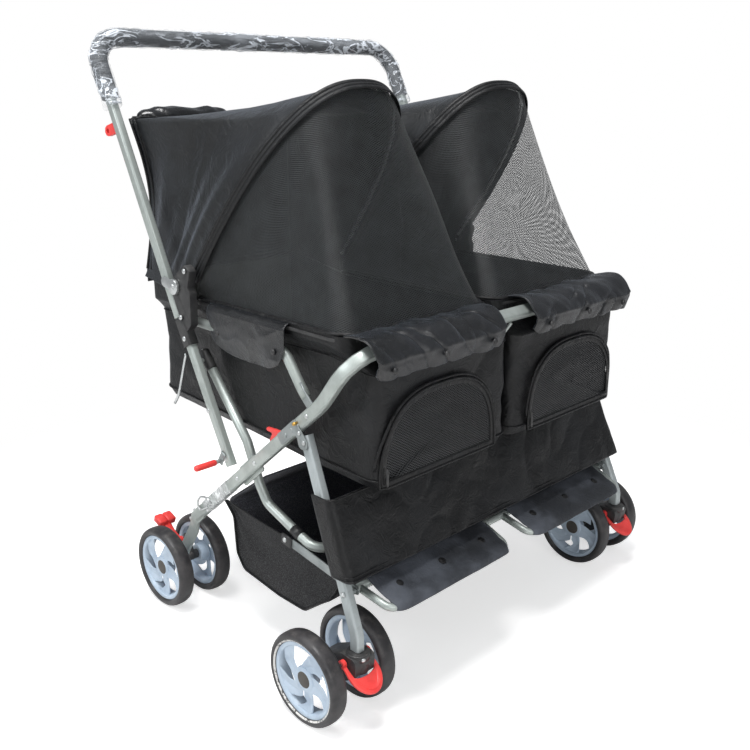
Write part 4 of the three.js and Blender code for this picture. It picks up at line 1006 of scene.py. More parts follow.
def swivel_lock(side, mark, word):
    """The red yoke that straddles the caster's stem and ends in a broad rounded scoop."""
    middle = side * FRONT_WHEELS[0]
    along = Vector((0, LOCK_TIP[0] - LOCK_PIVOT[0], LOCK_TIP[1] - LOCK_PIVOT[1])).normalized()
    start = Vector((middle, *LOCK_PIVOT))
    half, straight, bow = 25.0, 20.0, 35.0
    path = [start + along * s + Vector((-half, 0, 0)) for s in (-6, 6, straight - 4)]
    for i in range(25):
        turn = math.pi * i / 24
        reach = along * (straight + bow * math.sin(turn))
        path.append(start + reach + Vector((-half * math.cos(turn), 0, 0)))
    path += [start + along * s + Vector((half, 0, 0)) for s in (straight - 4, 6, -6)]

    def thin_ends(t):
        return mix(0.7, 1.0, smoothstep(0.1, 0.3, min(t, 1 - t)))

    def scoop_point(u, v):
        turn = math.pi * mix(0.09, 0.91, u)
        reach = straight - 2 + mix(bow - 22, bow + 2, v) * math.sin(turn) ** 0.8
        return start + along * reach + Vector((-(half - 1) * math.cos(turn), 0, -2.6 * math.sin(math.pi * v)))

    bm = sweep_mesh(even(path, 3), box_section(10, 5.5, 2.2), taper=thin_ends)
    scoop = cloth_mesh(32, 12, scoop_point, (50, 25))
    bmesh.ops.solidify(scoop, geom=scoop.faces[:], thickness=3.6)
    data = bpy.data.meshes.new("scoop")
    scoop.to_mesh(data)
    scoop.free()
    bm.from_mesh(data)
    bpy.data.meshes.remove(data)
    for way in (-1, 1):
        knob = [start + Vector((way * (half + x), 0, 0)) for x in (-3.5, 3.5)]
        sweep_mesh(knob, round_section(6.5, 20), across=(0, 1, 0), bm=bm)
    piece = make_piece(f"lock_yoke_{word}", bm, "red", f"swivel_lock_{mark}")
    sharp_by_angle(piece, 50)
    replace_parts(piece, f"swivel_lock_{mark}")


def brake_pedal(side, mark, word):
    """A short neck that ends in a pedal of two rounded lobes."""
    middle = side * REAR_WHEELS[0]
    start, tip = Vector((middle, *PEDAL_PIVOT)), Vector((middle, *PEDAL_TIP))
    neck = [start, start.lerp(tip, 0.45) + Vector((0, 4, -3)), tip]
    bm = sweep_mesh(smooth_path(neck, 8), box_section(15, 9, 3))
    for way in (-1, 1):
        places = ((-12, -4), (-10.5, -3.4), (0, 1), (8, 3.5), (10, 4))
        lobe = [tip + Vector((way * 8.8, y, z)) for y, z in places]
        sweep_mesh(lobe, box_section(17.4, 13, 2.6), taper=stepped(0.8, 1.0, 1.0, 1.0, 0.8), bm=bm)
    sweep_mesh([start + Vector((x, 0, 0)) for x in (-8, 8)], round_section(7, 20), across=(0, 1, 0), bm=bm)
    piece = make_piece(f"pedal_lobes_{word}", bm, "red", f"brake_pedal_{mark}")
    sharp_by_angle(piece, 50)
    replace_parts(piece, f"brake_pedal_{mark}")


def foot_lever():
    """The latch lever by the left pusher's foot: a plate, a thin rod and a red sleeve on the rod."""
    body = "foot_lever"
    y, z = LEVER_PIVOT
    rod = [Vector((x, y, z)) for x in (-357, -366, -380)]
    sweep("lever_rod", rod, round_section(3.4, 14), "steel", body, across=(0, 1, 0))
    strap = [Vector((-358.6, *place)) for place in ((-85, 352), (-83, 347), LEVER_PIVOT, (-74, 331))]
    sweep("lever_plate", strap, box_section(2.4, 12, 1.0), "plate", body)
    tube = [Vector((x, y, z)) for x in (-369, -370.5, -390, -405, -408, -409.5)]
    ends = stepped(0.8, 1.0, 1.0, 1.0, 0.88, 0.5)
    bm = sweep_mesh(tube, round_section(5.2, 20), across=(0, 1, 0), taper=ends)
    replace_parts(make_piece("lever_sleeve", bm, "red", body), "foot_lever")


def side_rivets(name, side, x, places, radius, body, height=1.9):
    """Steel rivet heads on an outer face, at places given as (y, z)."""
    heads = [Vector((side * x, y, z)) for y, z in places]
    rivets(name, heads, radius, height, "steel", body, (side, 0, 0))


def rivet_rows(side, mark, word):
    """The rivets of one side's frame, plate, pusher, hinge housing, leg and bracket."""
    nodes = frame["nodes"]
    housing, bracket = (nodes[f"{node}_{mark}"]["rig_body"] for node in ("hinge_housing", "leg_bracket"))
    on_frame = [(y, height_on(FRAME_REAR, FRAME_KNEE, y)) for y in (-284, -262, -232, -153, -105)]
    rows = (
        ("frame", FRAME_X + FRAME_W / 2, on_frame, 4.0, "frame"),
        ("plate", 335.5, [(48, 199), (62, 178)], 3.6, "frame"),
        ("pusher", PUSHER_X + 7, [(-46, 415), (-86, 341)], 4.2, "pusher"),
        ("housing", 360, [(-6, 640), (12, 562), (6, 527)], 4.4, housing),
        ("leg", 361, [(-368, 209)], 4.2, "legs"),
        ("bracket", 353, [(-270, 433), (-280, 420)], 3.6, bracket),
    )
    for name, x, places, radius, body in rows:
        side_rivets(f"{name}_rivets_{word}", side, x, places, radius, body)


def caster_collar(side, mark, word):
    """The collar round a caster's stem, with a rivet in its front."""
    body = f"caster_{mark}"
    profile = [(15.6, -6), (18.4, -5), (18.4, 5), (17.0, 6.2), (15.6, 6.2)]
    collar = revolve_mesh(profile, Vector((0, 0, 0)), steps=48)
    turn = Matrix.Rotation(-math.pi / 2, 4, "Y")
    place = Matrix.Translation((side * FRONT_WHEELS[0], -391, 118))
    bmesh.ops.transform(collar, matrix=place @ turn, verts=collar.verts)
    make_piece(f"caster_collar_{word}", collar, "black", body)
    head = [Vector((side * (FRONT_WHEELS[0] + 6), -409, 118))]
    rivets(f"collar_rivet_{word}", head, 3.4, 1.6, "steel", body, axis=(side * 0.3, -1, 0))


def side_fittings(side, mark, word):
    """The pin, link end, strut clip, cabin stay and wire bail on one side."""
    pin = [Vector((side * x, -262, 446)) for x in (349, 353, 357)]
    sweep(f"brass_pin_{word}", pin, round_section(2.6, 12), "brass", "frame", across=(0, 1, 0))
    caster_collar(side, mark, word)
    link_end = [Vector((side * LINK_X, y, z)) for y, z in ((-199, 232.5), (-222, 229))]
    sweep(f"link_end_{word}", link_end, box_section(5, 18, 2), "black", f"link_{mark}")
    side_rivets(f"link_rivet_{word}", side, LINK_X + 2.5, [(-207, 231.5)], 4.2, f"link_{mark}", height=2.4)
    clamp = [Vector((side * STRUT_X, y, z)) for y, z in ((-232, 241.3), (-214, 248))]
    sweep(f"strut_clip_{word}", clamp, round_section(8.8, 24), "black", "strut")
    cap_tip = Vector((side * STRUT_X, STRUT_SIDE[0][0] + 4.2, STRUT_SIDE[0][1] + 5.4))
    rivets(f"strut_tip_{word}", [cap_tip], 4.4, 2.4, "steel", "strut", axis=(0, 107, 128))
    places = ((345, 26, 495), (343, 42, 461), (339, 66, 415), (337, 84, 393))
    stay = [Vector((side * x, y, z)) for x, y, z in places]
    sweep(f"cabin_stay_{word}", smooth_path(stay, 4), round_section(2.4, 12), "steel", "frame")
    bail = [(-18, 232), (2, 220), (10, 226), (9, 236), (-2, 246), (-20, 248), (-28, 240)]
    wire = smooth_path([Vector((side * 352, y, z)) for y, z in bail], 6)
    sweep(f"wire_bail_{word}", wire, round_section(1.9, 10), "steel", "frame", across=(1, 0, 0))


def small_parts():
    """Locks, pedals, rivets and fittings, the film on the left tube, and the rod between the cabins."""
    for side, mark, word in SIDES:
        swivel_lock(side, mark, word)
        brake_pedal(side, mark, word)
        rivet_rows(side, mark, word)
        side_fittings(side, mark, word)
    film = [Vector((-FRAME_X, y, height_on(FRAME_REAR, FRAME_KNEE, y))) for y in (-78, -60, -30, -6)]
    sweep("tube_film", even(film, 6), box_section(FRAME_W + 1.0, FRAME_H + 1.0, 1.6), "sleeve", "frame")
    rod = [Vector((0, y, z)) for y, z in ((-384, 556), (-372, 540), (-352, 516), (-336, 498))]
    sweep("cabin_gap_rod", rod, round_section(2.6, 12), "tube", "frame")
    foot_lever()


def strut():
    """The strut's round tube, which crosses under the seats, with a moulded cap on each upper end."""
    corners = [Vector((-STRUT_X, y, z)) for y, z in STRUT_SIDE]
    corners += [Vector((-p.x, p.y, p.z)) for p in reversed(corners)]
    radii = [30, 40, 30, 60, 32, 32, 60, 30, 40, 30]
    tube = sweep("strut_tube", bend(corners, radii, 8), round_section(8), "tube", "strut")
    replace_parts(tube, "strut_frame")
    for side, mark, _ in SIDES:
        top, below = Vector((side * STRUT_X, *STRUT_SIDE[0])), Vector((side * STRUT_X, *STRUT_SIDE[1]))
        along = (top - below).normalized()
        path = [top + along * step for step in (-30, -28, 3, 5.5, 6.8)]
        bm = sweep_mesh(path, round_section(9.4), taper=stepped(0.93, 1.0, 1.0, 0.9, 0.6))
        make_piece(f"strut_cap_{mark}", bm, "black", "strut")


def armrests():
    """The bent armrest tubes, each with an ear against the frame's inner face."""
    ear_x = FRAME_X - FRAME_W / 2 - 2.0
    for side, mark, _ in SIDES:
        body = f"armrest_{mark}"
        path = [(8, 550), (-214, 544), (-252, 492), (-262, 481)]
        corners = [Vector((side * ARMREST_X, y, z)) for y, z in path]
        tube = sweep(f"armrest_bar_{mark}", bend(corners, [34, 20], 8), round_section(8), "tube", body)
        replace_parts(tube, f"armrest_tube_{mark}")
        places = ((-248, 499), (-257, 487), (-284, 461.4), (-288, 457.6))
        ear = [Vector((side * ear_x, y, z)) for y, z in places]
        sweep(f"armrest_ear_{mark}", ear, box_section(3.4, 16, 1.5), "plate", body)


strut()
armrests()
small_parts()


# ---- Handle grip ----


def handle_path(foot_z):
    feet = [(-PUSHER_X, along_z(HANDLE_FOOT, HANDLE_BAR, foot_z), foot_z), (-PUSHER_X, *HANDLE_BAR)]
    return bend([Vector(p) for p in feet + [(-x, y, z) for x, y, z in reversed(feet)]], HANDLE_CORNER_R, 14)


def grip():
    """The handle's foam grip under its crumpled clear wrap."""
    path = even(handle_path(GRIP_FOOT_Z), 6)
    foam = sweep("grip_foam", path, round_section(GRIP_R - 0.8, 28), "foam", "handle")
    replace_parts(foam, "handle_grip")
    wrap = sweep_mesh(even(handle_path(GRIP_FOOT_Z - 14), 3.5), round_section(GRIP_R + 0.4, 40))
    wrap.normal_update()
    for vert in wrap.verts:
        p = vert.co
        broad = 1.5 * wobble(p.x * 0.05, p.z * 0.05, p.y * 0.05, 2)
        ruck = broad + 1.1 * wobble(p.x * 0.16, p.z * 0.12, p.y * 0.12, 5)
        vert.co = p + vert.normal * (0.9 + ruck)
    make_piece("grip_wrap", wrap, "film", "handle")


grip()


# ---- Hoods ----


HOOD_SKIRT = 0.05  # share of the hood's width that hangs below its hoop's foot, over the cabin's rim


def hood_rear(side, t):
    """A hood's rear edge, from its outer foot over the top and down beside the other hood."""
    if t < 0.7:
        share = HOOD_CORNER * t / 0.3 if t < 0.3 else mix(HOOD_CORNER, 0.4955, (t - 0.3) / 0.4)
        edge = rear_arch(share)
        return Vector((-side * edge.x, edge.y, edge.z))
    return Vector((side * 3, HOOD_REAR_Y, mix(HOOD_TOP_Z, HOOD_FOOT_Z, (t - 0.7) / 0.3)))


def hood_point(side, u, v):
    """A point of a hood, from outer to inner edge over u and from hoop to rear edge over v."""
    edge = min(u, 1 - u)
    t = min(max(u - HOOD_SKIRT, 0.0) / (1 - 2 * HOOD_SKIRT), 1.0)
    here = hoop_point(side, t, -6.0).lerp(hood_rear(side, t), v)
    slack = 7.0 * math.sin(math.pi * v) * smoothstep(0.25, 0.4, t) * (1 - smoothstep(0.6, 0.75, t))
    here.z -= slack
    if edge < HOOD_SKIRT:
        hang = 1 - edge / HOOD_SKIRT
        foot = Vector((side * (332.5 if u < 0.5 else 3.0), here.y, rim_z(here.y) - 9))
        here = here.lerp(foot, hang)
    return here


def hood(side, word):
    """The oxford top between a hoop and the rear edge, with slack folds low on its outer side."""

    def folds(u, v):
        edge = math.sin(math.pi * min(max(v, 0.02), 0.98)) ** 0.4
        held = smoothstep(0.04, 0.12, u) * (1 - smoothstep(0.88, 0.96, u))
        low = (1 - smoothstep(0.14, 0.46, u)) * smoothstep(0.03, 0.09, u)
        fan = math.sin(8.0 * (v + 0.45 * u) + 2.4 * wobble(u * 3, v * 2, 0, side)) * 5.5 * low
        soft = 4.0 * wobble(u * 5.5, v * 2.2, 0.3, side) + 1.8 * wobble(u * 13, v * 5, 1.7, side)
        sharp = 3.0 * crease(u * 4 + v, v * 1.6 - u, 0.7, side) * (0.4 + 0.6 * low)
        pull = 2.4 * math.sin(30 * v + 14 * u) * low * (1 - smoothstep(0.1, 0.3, u))
        return (fan + (soft + sharp) * held + pull) * edge

    def place(u, v):
        return hood_point(side, u, v)

    bm = cloth_mesh(170, 64, place, (760, 380), folds, flip=side > 0)
    piece = make_piece(f"hood_{word}", bm, "hood", solid=1.6, normals=False)
    line_inside(piece, "lining")
    top = hood_point(side, 0.5, 0)
    back = hood_point(side, 0.5, 1)
    at(0, back.y, back.z)
    at(0, top.y, top.z)
    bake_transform(piece)
    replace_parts(piece, "rear_canopy")


def hood_back():
    """The cloth that closes both hoods behind, with piping along its edge."""
    foot = 0.075  # share of its height that hangs below the cabins' rims

    def place(u, v):
        edge = rear_arch(HOOD_CORNER * max(v - foot, 0) / (1 - foot))
        drop = 22 * max(foot - v, 0) / foot
        return Vector((edge.x * (1 - 2 * u), HOOD_REAR_Y + 1.5, edge.z - drop))

    def slack(u, v):
        sag = 3.4 * wobble(u * 6, v * 3, 4) + 1.6 * wobble(u * 17, v * 5, 2)
        return sag * math.sin(math.pi * v) - 3 * math.sin(math.pi * v) * math.sin(math.pi * u)

    bm = cloth_mesh(110, 44, place, (660, 275), slack)
    piece = make_piece("hood_back", bm, "hood", "frame", 1.6, normals=False)
    line_inside(piece, "lining")
    for name, ahead, radius in (("hood_piping_rear", 1.0, 2.4), ("hood_piping_side", 13.0, 1.8)):
        path = [rear_arch(i / 120) + Vector((0, -ahead, 1.2)) for i in range(121)]
        for p in path:
            p.x *= 1.003
        sweep(name, path, round_section(radius, 10), "piping", "frame")


def hood_roll():
    """The rolled rain cover strapped behind the left hood's top."""
    bm = bmesh.new()
    bmesh.ops.create_uvsphere(bm, u_segments=64, v_segments=28, radius=1.0)
    for vert in bm.verts:
        p = vert.co
        ruck = 1 + 0.12 * wobble(p.x * 3, p.y * 3, p.z * 3, 9) + 0.06 * math.sin(p.x * 16 + p.z * 3)
        hump = 1 - 0.25 * math.exp(-((p.x - 0.1) ** 2) / 0.03)
        along = math.copysign(abs(p.x) ** 0.7, p.x)
        vert.co = Vector((-222 + 92 * along, 172 + 26 * p.y * ruck, 876 + 15 * p.z * ruck * hump))
    piece = make_piece("rain_cover_roll", bm, "puffed", "frame")


def hoop_band(side, mark, word):
    """The sewn sleeve over a hoop: three soft ridges side by side."""
    hoop = f"canopy_hoop_{mark}"

    def place(u, v):
        ridge = abs(math.sin(3 * math.pi * v)) ** 0.7
        return hoop_point(side, u, mix(11, -9, v), 2.6 + 1.6 * ridge)

    bm = cloth_mesh(160, 18, place, (1000, 22), flip=side < 0)
    piece = make_piece(f"hoop_sleeve_{word}", bm, "oxford", hoop, 1.4, normals=False)
    materials = frame["nodes"][hoop].data.materials
    materials.clear()
    materials.append(LOOKS["steel"])


def mesh_dome(side, mark, word):
    """The mesh front: stretched from hoop to rim, with slack folds where it is not taut."""
    hoop = f"canopy_hoop_{mark}"

    def place(u, v):
        top = hoop_point(side, u, 7.0, 0.5)
        return top.lerp(RIMS[side](u), v)

    def folds(u, v):
        inner = math.sin(math.pi * v)
        bulge = 7.0 * math.sin(math.pi * u) ** 0.5 * inner
        broad = 11.0 * wobble(u * 5.0, v * 1.1, 0.5, 3 + side) * inner
        fine = 1.8 * wobble(u * 14, v * 2.0, 2.5, side) * inner
        return -side * (bulge + broad + fine)

    bm = cloth_mesh(150, 70, place, (900, 420), folds, flip=side < 0)
    piece = make_piece(f"mesh_front_{word}", bm, "mesh", normals=False)
    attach(piece, hoop)
    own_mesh(piece)
    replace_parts(piece, f"mesh_dome_{mark}")
    rope = even(rim_path(side, 3.0, 1.5, 4.0), 5)
    sweep(f"rim_piping_{word}", rope, round_section(3.6, 12), "piping", "frame")
    zip_line = even(rim_path(side, -1.0, -6.0, 4.0), 5)
    sweep(f"rim_zip_{word}", zip_line, box_section(1.6, 5, 0.7), "black", "frame")


for side, mark, word in SIDES:
    hood(side, word)
    hoop_band(side, mark, word)
    mesh_dome(side, mark, word)
hood_back()
hood_roll()


# ---- Cabins ----


def plan(x1, front, inset=0.0):
    """A cabin level's outline, by share of its length from the middle of its rear, outer side first."""
    x0, x1 = CABIN_IN_X + inset, x1 - inset
    front, rear = front + inset, CABIN_REAR_Y - inset
    middle = (x0 + x1) / 2
    corners = [(x1, rear, 0), (x1, front, 0), (x0, front, 0), (x0, rear, 0)]
    loop = [(middle, rear, 0), *corners, (middle, rear, 0)]
    return sampled(bend(loop, CABIN_CORNER_R - inset, 10))


# The cabin's levels from floor to rim: share of its height, outline, and height along the cabin.
LEVELS = [
    (0.00, plan(CABIN_OUT_X - 8, CABIN_FRONT_Y + 8), floor_z),
    (0.07, plan(CABIN_OUT_X, CABIN_FRONT_Y), lambda y: floor_z(y) + 14),
    (0.70, plan(CABIN_OUT_X, CABIN_FRONT_Y), lambda y: ledge_z(y) - 6),
    (0.82, plan(CABIN_RIM_X, CABIN_RIM_FRONT_Y), lambda y: ledge_z(y) + 14),
    (1.00, plan(CABIN_RIM_X, CABIN_RIM_FRONT_Y), rim_z),
]


LEDGE_LEVEL = 2  # the place in LEVELS of the level just under the ledge


def cabin_point(side, u, v):
    """A point of a cabin's walls, round it over u and up it over v; the ledge widens in a soft curve."""
    low = max(i for i, level in enumerate(LEVELS[:-1]) if v >= level[0] - 1e-9)
    (v0, loop0, height0), (v1, loop1, height1) = LEVELS[low], LEVELS[low + 1]
    share = (v - v0) / (v1 - v0)
    if low == LEDGE_LEVEL:
        share = smoothstep(0, 1, share)
    a, b = loop0(u), loop1(u)
    a.z, b.z = height0(a.y), height1(b.y)
    here = a.lerp(b, share)
    return Vector((side * here.x, here.y, here.z))


def corner_recess(x):
    """How far the cabin's front turns back at x, on its rounded corners."""
    least = 60  # square millimetres, below which the recess stops growing
    past = max(abs(x) - (CABIN_OUT_X - CABIN_CORNER_R), CABIN_IN_X + CABIN_CORNER_R - abs(x), 0)
    return CABIN_CORNER_R - math.sqrt(max(CABIN_CORNER_R**2 - past**2, least))


DOOR_ARCH_STEPS, DOOR_FOOT_STEPS = 48, 24


def door_outline(side, grow, y):
    """The D-shaped door's edge, grown by a margin, as a closed path."""
    near, far = DOOR_X
    half = (far - near) / 2 + grow
    low, high = DOOR_Z[0] - grow, DOOR_Z[1] + grow
    path = []
    for i in range(DOOR_ARCH_STEPS + 1):
        turn = math.pi * i / DOOR_ARCH_STEPS
        c, s = math.cos(turn), max(math.sin(turn), 0.0)
        across = half * math.copysign(abs(c) ** 0.75, c)
        path.append(Vector((side * (near + far) / 2 + across, y, low + (high - low) * s**0.75)))
    foot_left, foot_right = path[-1], path[0]
    path += [foot_left.lerp(foot_right, i / DOOR_FOOT_STEPS) for i in range(1, DOOR_FOOT_STEPS)]
    for p in path:
        p.y += corner_recess(p.x)
    return path


def applied(piece):
    """Bakes the piece's modifiers into its mesh."""
    graph = bpy.context.evaluated_depsgraph_get()
    baked = bpy.data.meshes.new_from_object(piece.evaluated_get(graph))
    piece.modifiers.clear()
    piece.data = baked


def cut_doorway(walls, side, word):
    """Cuts the doorway through the front of a cabin's walls."""
    bm = bmesh.new()
    ring = [bm.verts.new(p) for p in door_outline(side, -8, CABIN_FRONT_Y - 30)]
    face = bm.faces.new(ring)
    moved = bmesh.ops.extrude_face_region(bm, geom=[face])["geom"]
    verts = [v for v in moved if isinstance(v, bmesh.types.BMVert)]
    bmesh.ops.translate(bm, vec=(0, 60, 0), verts=verts)
    cutter = make_piece(f"doorway_{word}", bm, "oxford")
    cut = walls.modifiers.new("doorway", "BOOLEAN")
    cut.operation, cut.solver, cut.object = "DIFFERENCE", "EXACT", cutter
    bpy.context.view_layer.update()
    applied(walls)
    bpy.data.objects.remove(cutter)


def cabin_walls(side, word):
    """The slack walls, crumpled at their corners, with the doorway in their front."""

    def around(u, v, turns, rows, seed):
        """Noise that closes on itself round the cabin."""
        turn, radius = 2 * math.pi * u, turns / (2 * math.pi)
        return wobble(radius * math.cos(turn), radius * math.sin(turn), v * rows, seed + side)

    def wear(u, v):
        corner = min(abs(u - c) for c in (0.14, 0.40, 0.60, 0.86))
        wall = math.sin(math.pi * min(max((v - 0.07) / 0.75, 0), 1)) if v < 0.82 else 0
        soft = 5.5 * around(u, v, 13, 2.4, 3) + 2.2 * around(u, v, 36, 6, 5)
        sharp = max(0.0, 1 - 3.4 * abs(around(u, v, 11, 1.7, 9))) ** 2 * 3.4
        crumple = 4.2 * around(u, v, 60, 9, 7) * (1 - smoothstep(0.0, 0.06, corner))
        return side * max(3.0 + soft + sharp + crumple, -2.0) * wall

    bm = cloth_mesh(300, 64, lambda u, v: cabin_point(side, u, v), (1640, 210), wear, flip=side > 0)
    piece = make_piece(f"cabin_{word}_walls", bm, "oxford", "frame", solid=2.2, normals=False)
    cut_doorway(piece, side, word)
    for polygon in piece.data.polygons:
        polygon.use_smooth = True
    sharp_by_angle(piece, 50)
    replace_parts(piece, f"cabin_{word}")
    return piece


def cabin_floor(side, word):
    front, rear = CABIN_FRONT_Y + 9, CABIN_REAR_Y - 1

    def place(u, v):
        y = mix(front, rear, v)
        short = max(CABIN_CORNER_R - min(y - front, rear - y), 0)
        rounded = CABIN_CORNER_R - math.sqrt(CABIN_CORNER_R**2 - short**2)
        x = mix(CABIN_IN_X + 0.8 + rounded, CABIN_OUT_X - 8.8 - rounded, u)
        return Vector((side * x, y, floor_z(y) + 1.6))

    def slack(u, v):
        return 1.2 * wobble(u * 5, v * 8, 3, side)

    bm = cloth_mesh(60, 90, place, (290, 540), slack, flip=side < 0)
    mat = make_piece(f"cabin_{word}_floor", bm, "lining", "frame", solid=3.0, normals=False)


def cabin_backrest(side, word):
    def place(u, v):
        x, z = mix(CABIN_IN_X + 14, CABIN_OUT_X - 14, u), mix(FLOOR_Z_REAR + 6, RIM_Z_REAR - 6, v)
        return Vector((side * x, CABIN_REAR_Y - 13, z))

    def slack(u, v):
        return 2.5 * wobble(u * 4, v * 3, 6, side) * math.sin(math.pi * v)

    bm = cloth_mesh(60, 40, place, (290, 215), slack, flip=side > 0)
    rest = make_piece(f"cabin_{word}_backrest", bm, "backrest", "frame", solid=1.5, normals=False)


def cabin_piping(side, word):
    """The piped seams round the cabin's foot and under its ledge."""
    middle = Vector((side * (CABIN_IN_X + CABIN_OUT_X) / 2, -120, 0))
    for label, level, lift, radius in (("seam", 0.075, 0.6, 1.7), ("ledge", 0.69, 0.4, 1.0)):
        line = [cabin_point(side, u / 300, level) for u in range(300)]
        for p in line:
            away = Vector((p.x - middle.x, p.y - middle.y, 0)).normalized()
            p += away * lift
        sweep(f"cabin_{word}_{label}", line, round_section(radius, 8), "piping", "frame", closed=True)


def cabin(side, word):
    walls = cabin_walls(side, word)
    cabin_floor(side, word)
    cabin_backrest(side, word)
    cabin_piping(side, word)


def door(side, mark, word):
    """The mesh door: its window, bound edge, zip and puller, and the piping round the doorway."""
    body = f"door_{mark}"
    front = CABIN_FRONT_Y - 2.0
    middle = Vector((side * sum(DOOR_X) / 2, front, mix(DOOR_Z[0], DOOR_Z[1], 0.42)))
    outline = door_outline(side, -2, front)
    edge = sampled(outline + [outline[0]])

    def place(u, v):
        return middle.lerp(edge(u), 0.02 + 0.98 * v)

    def slack(u, v):
        return side * 2.0 * wobble(u * 4, v * 3, 7, side) * math.sin(math.pi * v)

    bm = cloth_mesh(96, 24, place, (248, 132), slack)
    uv = bm.loops.layers.uv.active
    for face in bm.faces:
        for loop in face.loops:
            loop[uv].uv = (loop.vert.co.x / 1000, loop.vert.co.z / 1000)
    window = make_piece(f"door_window_{word}", bm, "door_mesh", body)
    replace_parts(window, f"door_{mark}")
    band = door_outline(side, -5.5, front - 0.6)
    sweep(f"door_band_{word}", band, box_section(2.2, 9, 1.0), "oxford", body, across=(0, 1, 0), closed=True)
    zip_line = door_outline(side, -0.5, front - 1.6)
    sweep(f"door_zip_{word}", zip_line, round_section(2.2, 10), "piping", body, closed=True)
    surround = door_outline(side, 4.8, CABIN_FRONT_Y - 2.2)[: DOOR_ARCH_STEPS + 1]
    arch = [p for p in surround if p.z > DOOR_Z[0] + 14]
    sweep(f"door_surround_{word}", arch, round_section(2.3, 10), "piping", "frame")
    pull_x = DOOR_X[0] + (8 if side > 0 else 250)
    pull = [Vector((side * pull_x, front - 4.5, DOOR_Z[0] + z)) for z in (30, 22, 12, 4)]
    sweep(f"door_puller_{word}", pull, box_section(4.5, 1.6, 0.6), "black", body)


FLAP_SNAPS = ((0.12, 0.86), (0.52, 0.84), (0.9, 0.86))  # shares across and down the front flap
FLAP_QUILT = 0.72  # share down the front flap at which it is quilted through


def front_flap(side, word):
    """The padded flap that wraps over the front bar, with its snaps."""
    over_bar = [(-340, 587), (-360, 592.5), (-382, 592), (-398, 580), (-406, 563), (-408, 548), (-402, 532)]
    path = sampled(smooth_path(side_points(over_bar), 8))

    def place(u, v):
        here = path(v)
        x = mix(40, 325, u)
        hem = 4.0 * wobble(u * 3, 0.5, 2, side) + 1.2 * wobble(u * 10, 0, 3, side)
        corner = 10 * (max(abs(2 * u - 1) - 0.9, 0) / 0.1) ** 2
        y = here.y + 5 * v * wobble(u * 4, v, 1, side)
        return Vector((side * x, y, here.z + (hem + corner) * smoothstep(0.6, 1, v)))

    def puff(u, v):
        edge = math.sin(math.pi * min(max(u, 0.02), 0.98)) ** 0.35
        above = math.sin(math.pi * min(v / FLAP_QUILT, 1)) ** 0.8
        below = math.sin(math.pi * max(v - FLAP_QUILT, 0) / 0.28)
        swell = 6.5 * above + 2.6 * below
        slope = u * 5.0 - 1.6 * v
        broad = 4.0 * wobble(slope * 1.3, v * 1.3, 0, 4 + side)
        ruck = broad + 1.6 * wobble(u * 14 - 3 * v, v * 2.6, 1, side)
        ruck += 3.6 * crease(u * 6.0 + 1.4 * v, v * 1.1, 0, side) * smoothstep(0.15, 0.45, v) - 0.8
        near_quilting = math.exp(-((v - FLAP_QUILT) ** 2) / 0.004)
        pucker = 0.5 * math.sin(u * 62 + 5 * wobble(u * 8, 0, 0, 2)) * near_quilting
        seam = 1.6 * math.exp(-((v - 0.76) ** 2) / 0.0009)
        snap = sum(math.exp(-((u - a) ** 2) / 0.0016 - (v - b) ** 2 / 0.006) for a, b in FLAP_SNAPS)
        return side * ((swell + ruck) * edge + pucker - seam - 2.4 * snap)

    bm = cloth_mesh(200, 72, place, (290, 125), puff, flip=side > 0)
    piece = make_piece(f"bar_flap_{word}", bm, "puffed", "frame", solid=3.0, normals=False)
    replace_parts(piece, f"cabin_{word}")
    places = [place(u, v) + Vector((0, -4.0, -0.5)) for u, v in FLAP_SNAPS]
    rivets(f"bar_flap_snaps_{word}", places, 5.2, 2.6, "black", "frame", axis=(0, -0.97, 0.1))


def side_flap(side, word):
    """The flap that hangs from the rim over the armrest."""
    rear_half = [(-226, 548), (-217, 528), (-204, 518), (-184, 512), (-140, 511)]
    front_half = [(-99, 512), (-70, 517), (-50, 526), (-38, 540), (-34, 552)]
    bottom = sampled(smooth_path(side_points(rear_half + front_half), 4))

    def place(u, v):
        edge = bottom(u)
        top_y = mix(-227, -34, u)
        top = rim_z(top_y) - 1
        if v < 0.25:
            turn = math.pi / 2 * v / 0.25
            z = top + 2.5 - 9.0 * (1 - math.cos(turn))
            return Vector((side * (327.5 + 11.6 * math.sin(turn)), top_y, z))
        share = (v - 0.25) / 0.75
        tuck = 6.0 * smoothstep(0.3, 1, share) * smoothstep(0.15, 0.4, u)
        return Vector((side * (339.8 - tuck), mix(top_y, edge.y, share), mix(top - 6.5, edge.z, share)))

    def ruck(u, v):
        soft = 1.5 * wobble(u * 4, v * 1.6, 2, side) + 0.7 * wobble(u * 11, v * 4, 1, side)
        depth = soft + 1.8 * crease(u * 3, v * 1.6, 5, side) + 0.6
        return -side * depth * smoothstep(0, 0.3, v) * (0.4 + 0.6 * v)

    bm = cloth_mesh(90, 50, place, (172, 78), ruck, flip=side > 0)
    piece = make_piece(f"arm_flap_{word}", bm, "puffed", "frame", solid=1.6, normals=False)
    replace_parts(piece, f"cabin_{word}")
    places = [place(u, 0.72) + Vector((side * 2.0, 0, 0)) for u in (0.16, 0.84)]
    rivets(f"arm_flap_snaps_{word}", places, 4.6, 2.2, "black", "frame", axis=(side, 0, 0))


for side, mark, word in SIDES:
    cabin(side, word)
    door(side, mark, word)
    front_flap(side, word)
    side_flap(side, word)


# ---- Basket ----

BASKET_X = 314
BASKET_BACK_TOP = (-134, 313)
BASKET_REAR = (-23, 235)
BASKET_FLOOR = [(-46, 212), (-49, 142), (-67, 116), (-163, 103), (-227, 102), (-289, 148), (-318, 190)]
PANEL_X, PANEL_DEPTH = 363, 38
PANEL_BOTTOM, PANEL_TOP = (-386, 232), (-339, 348)
BASKET_SIDE_FRONT = (-322, 192)


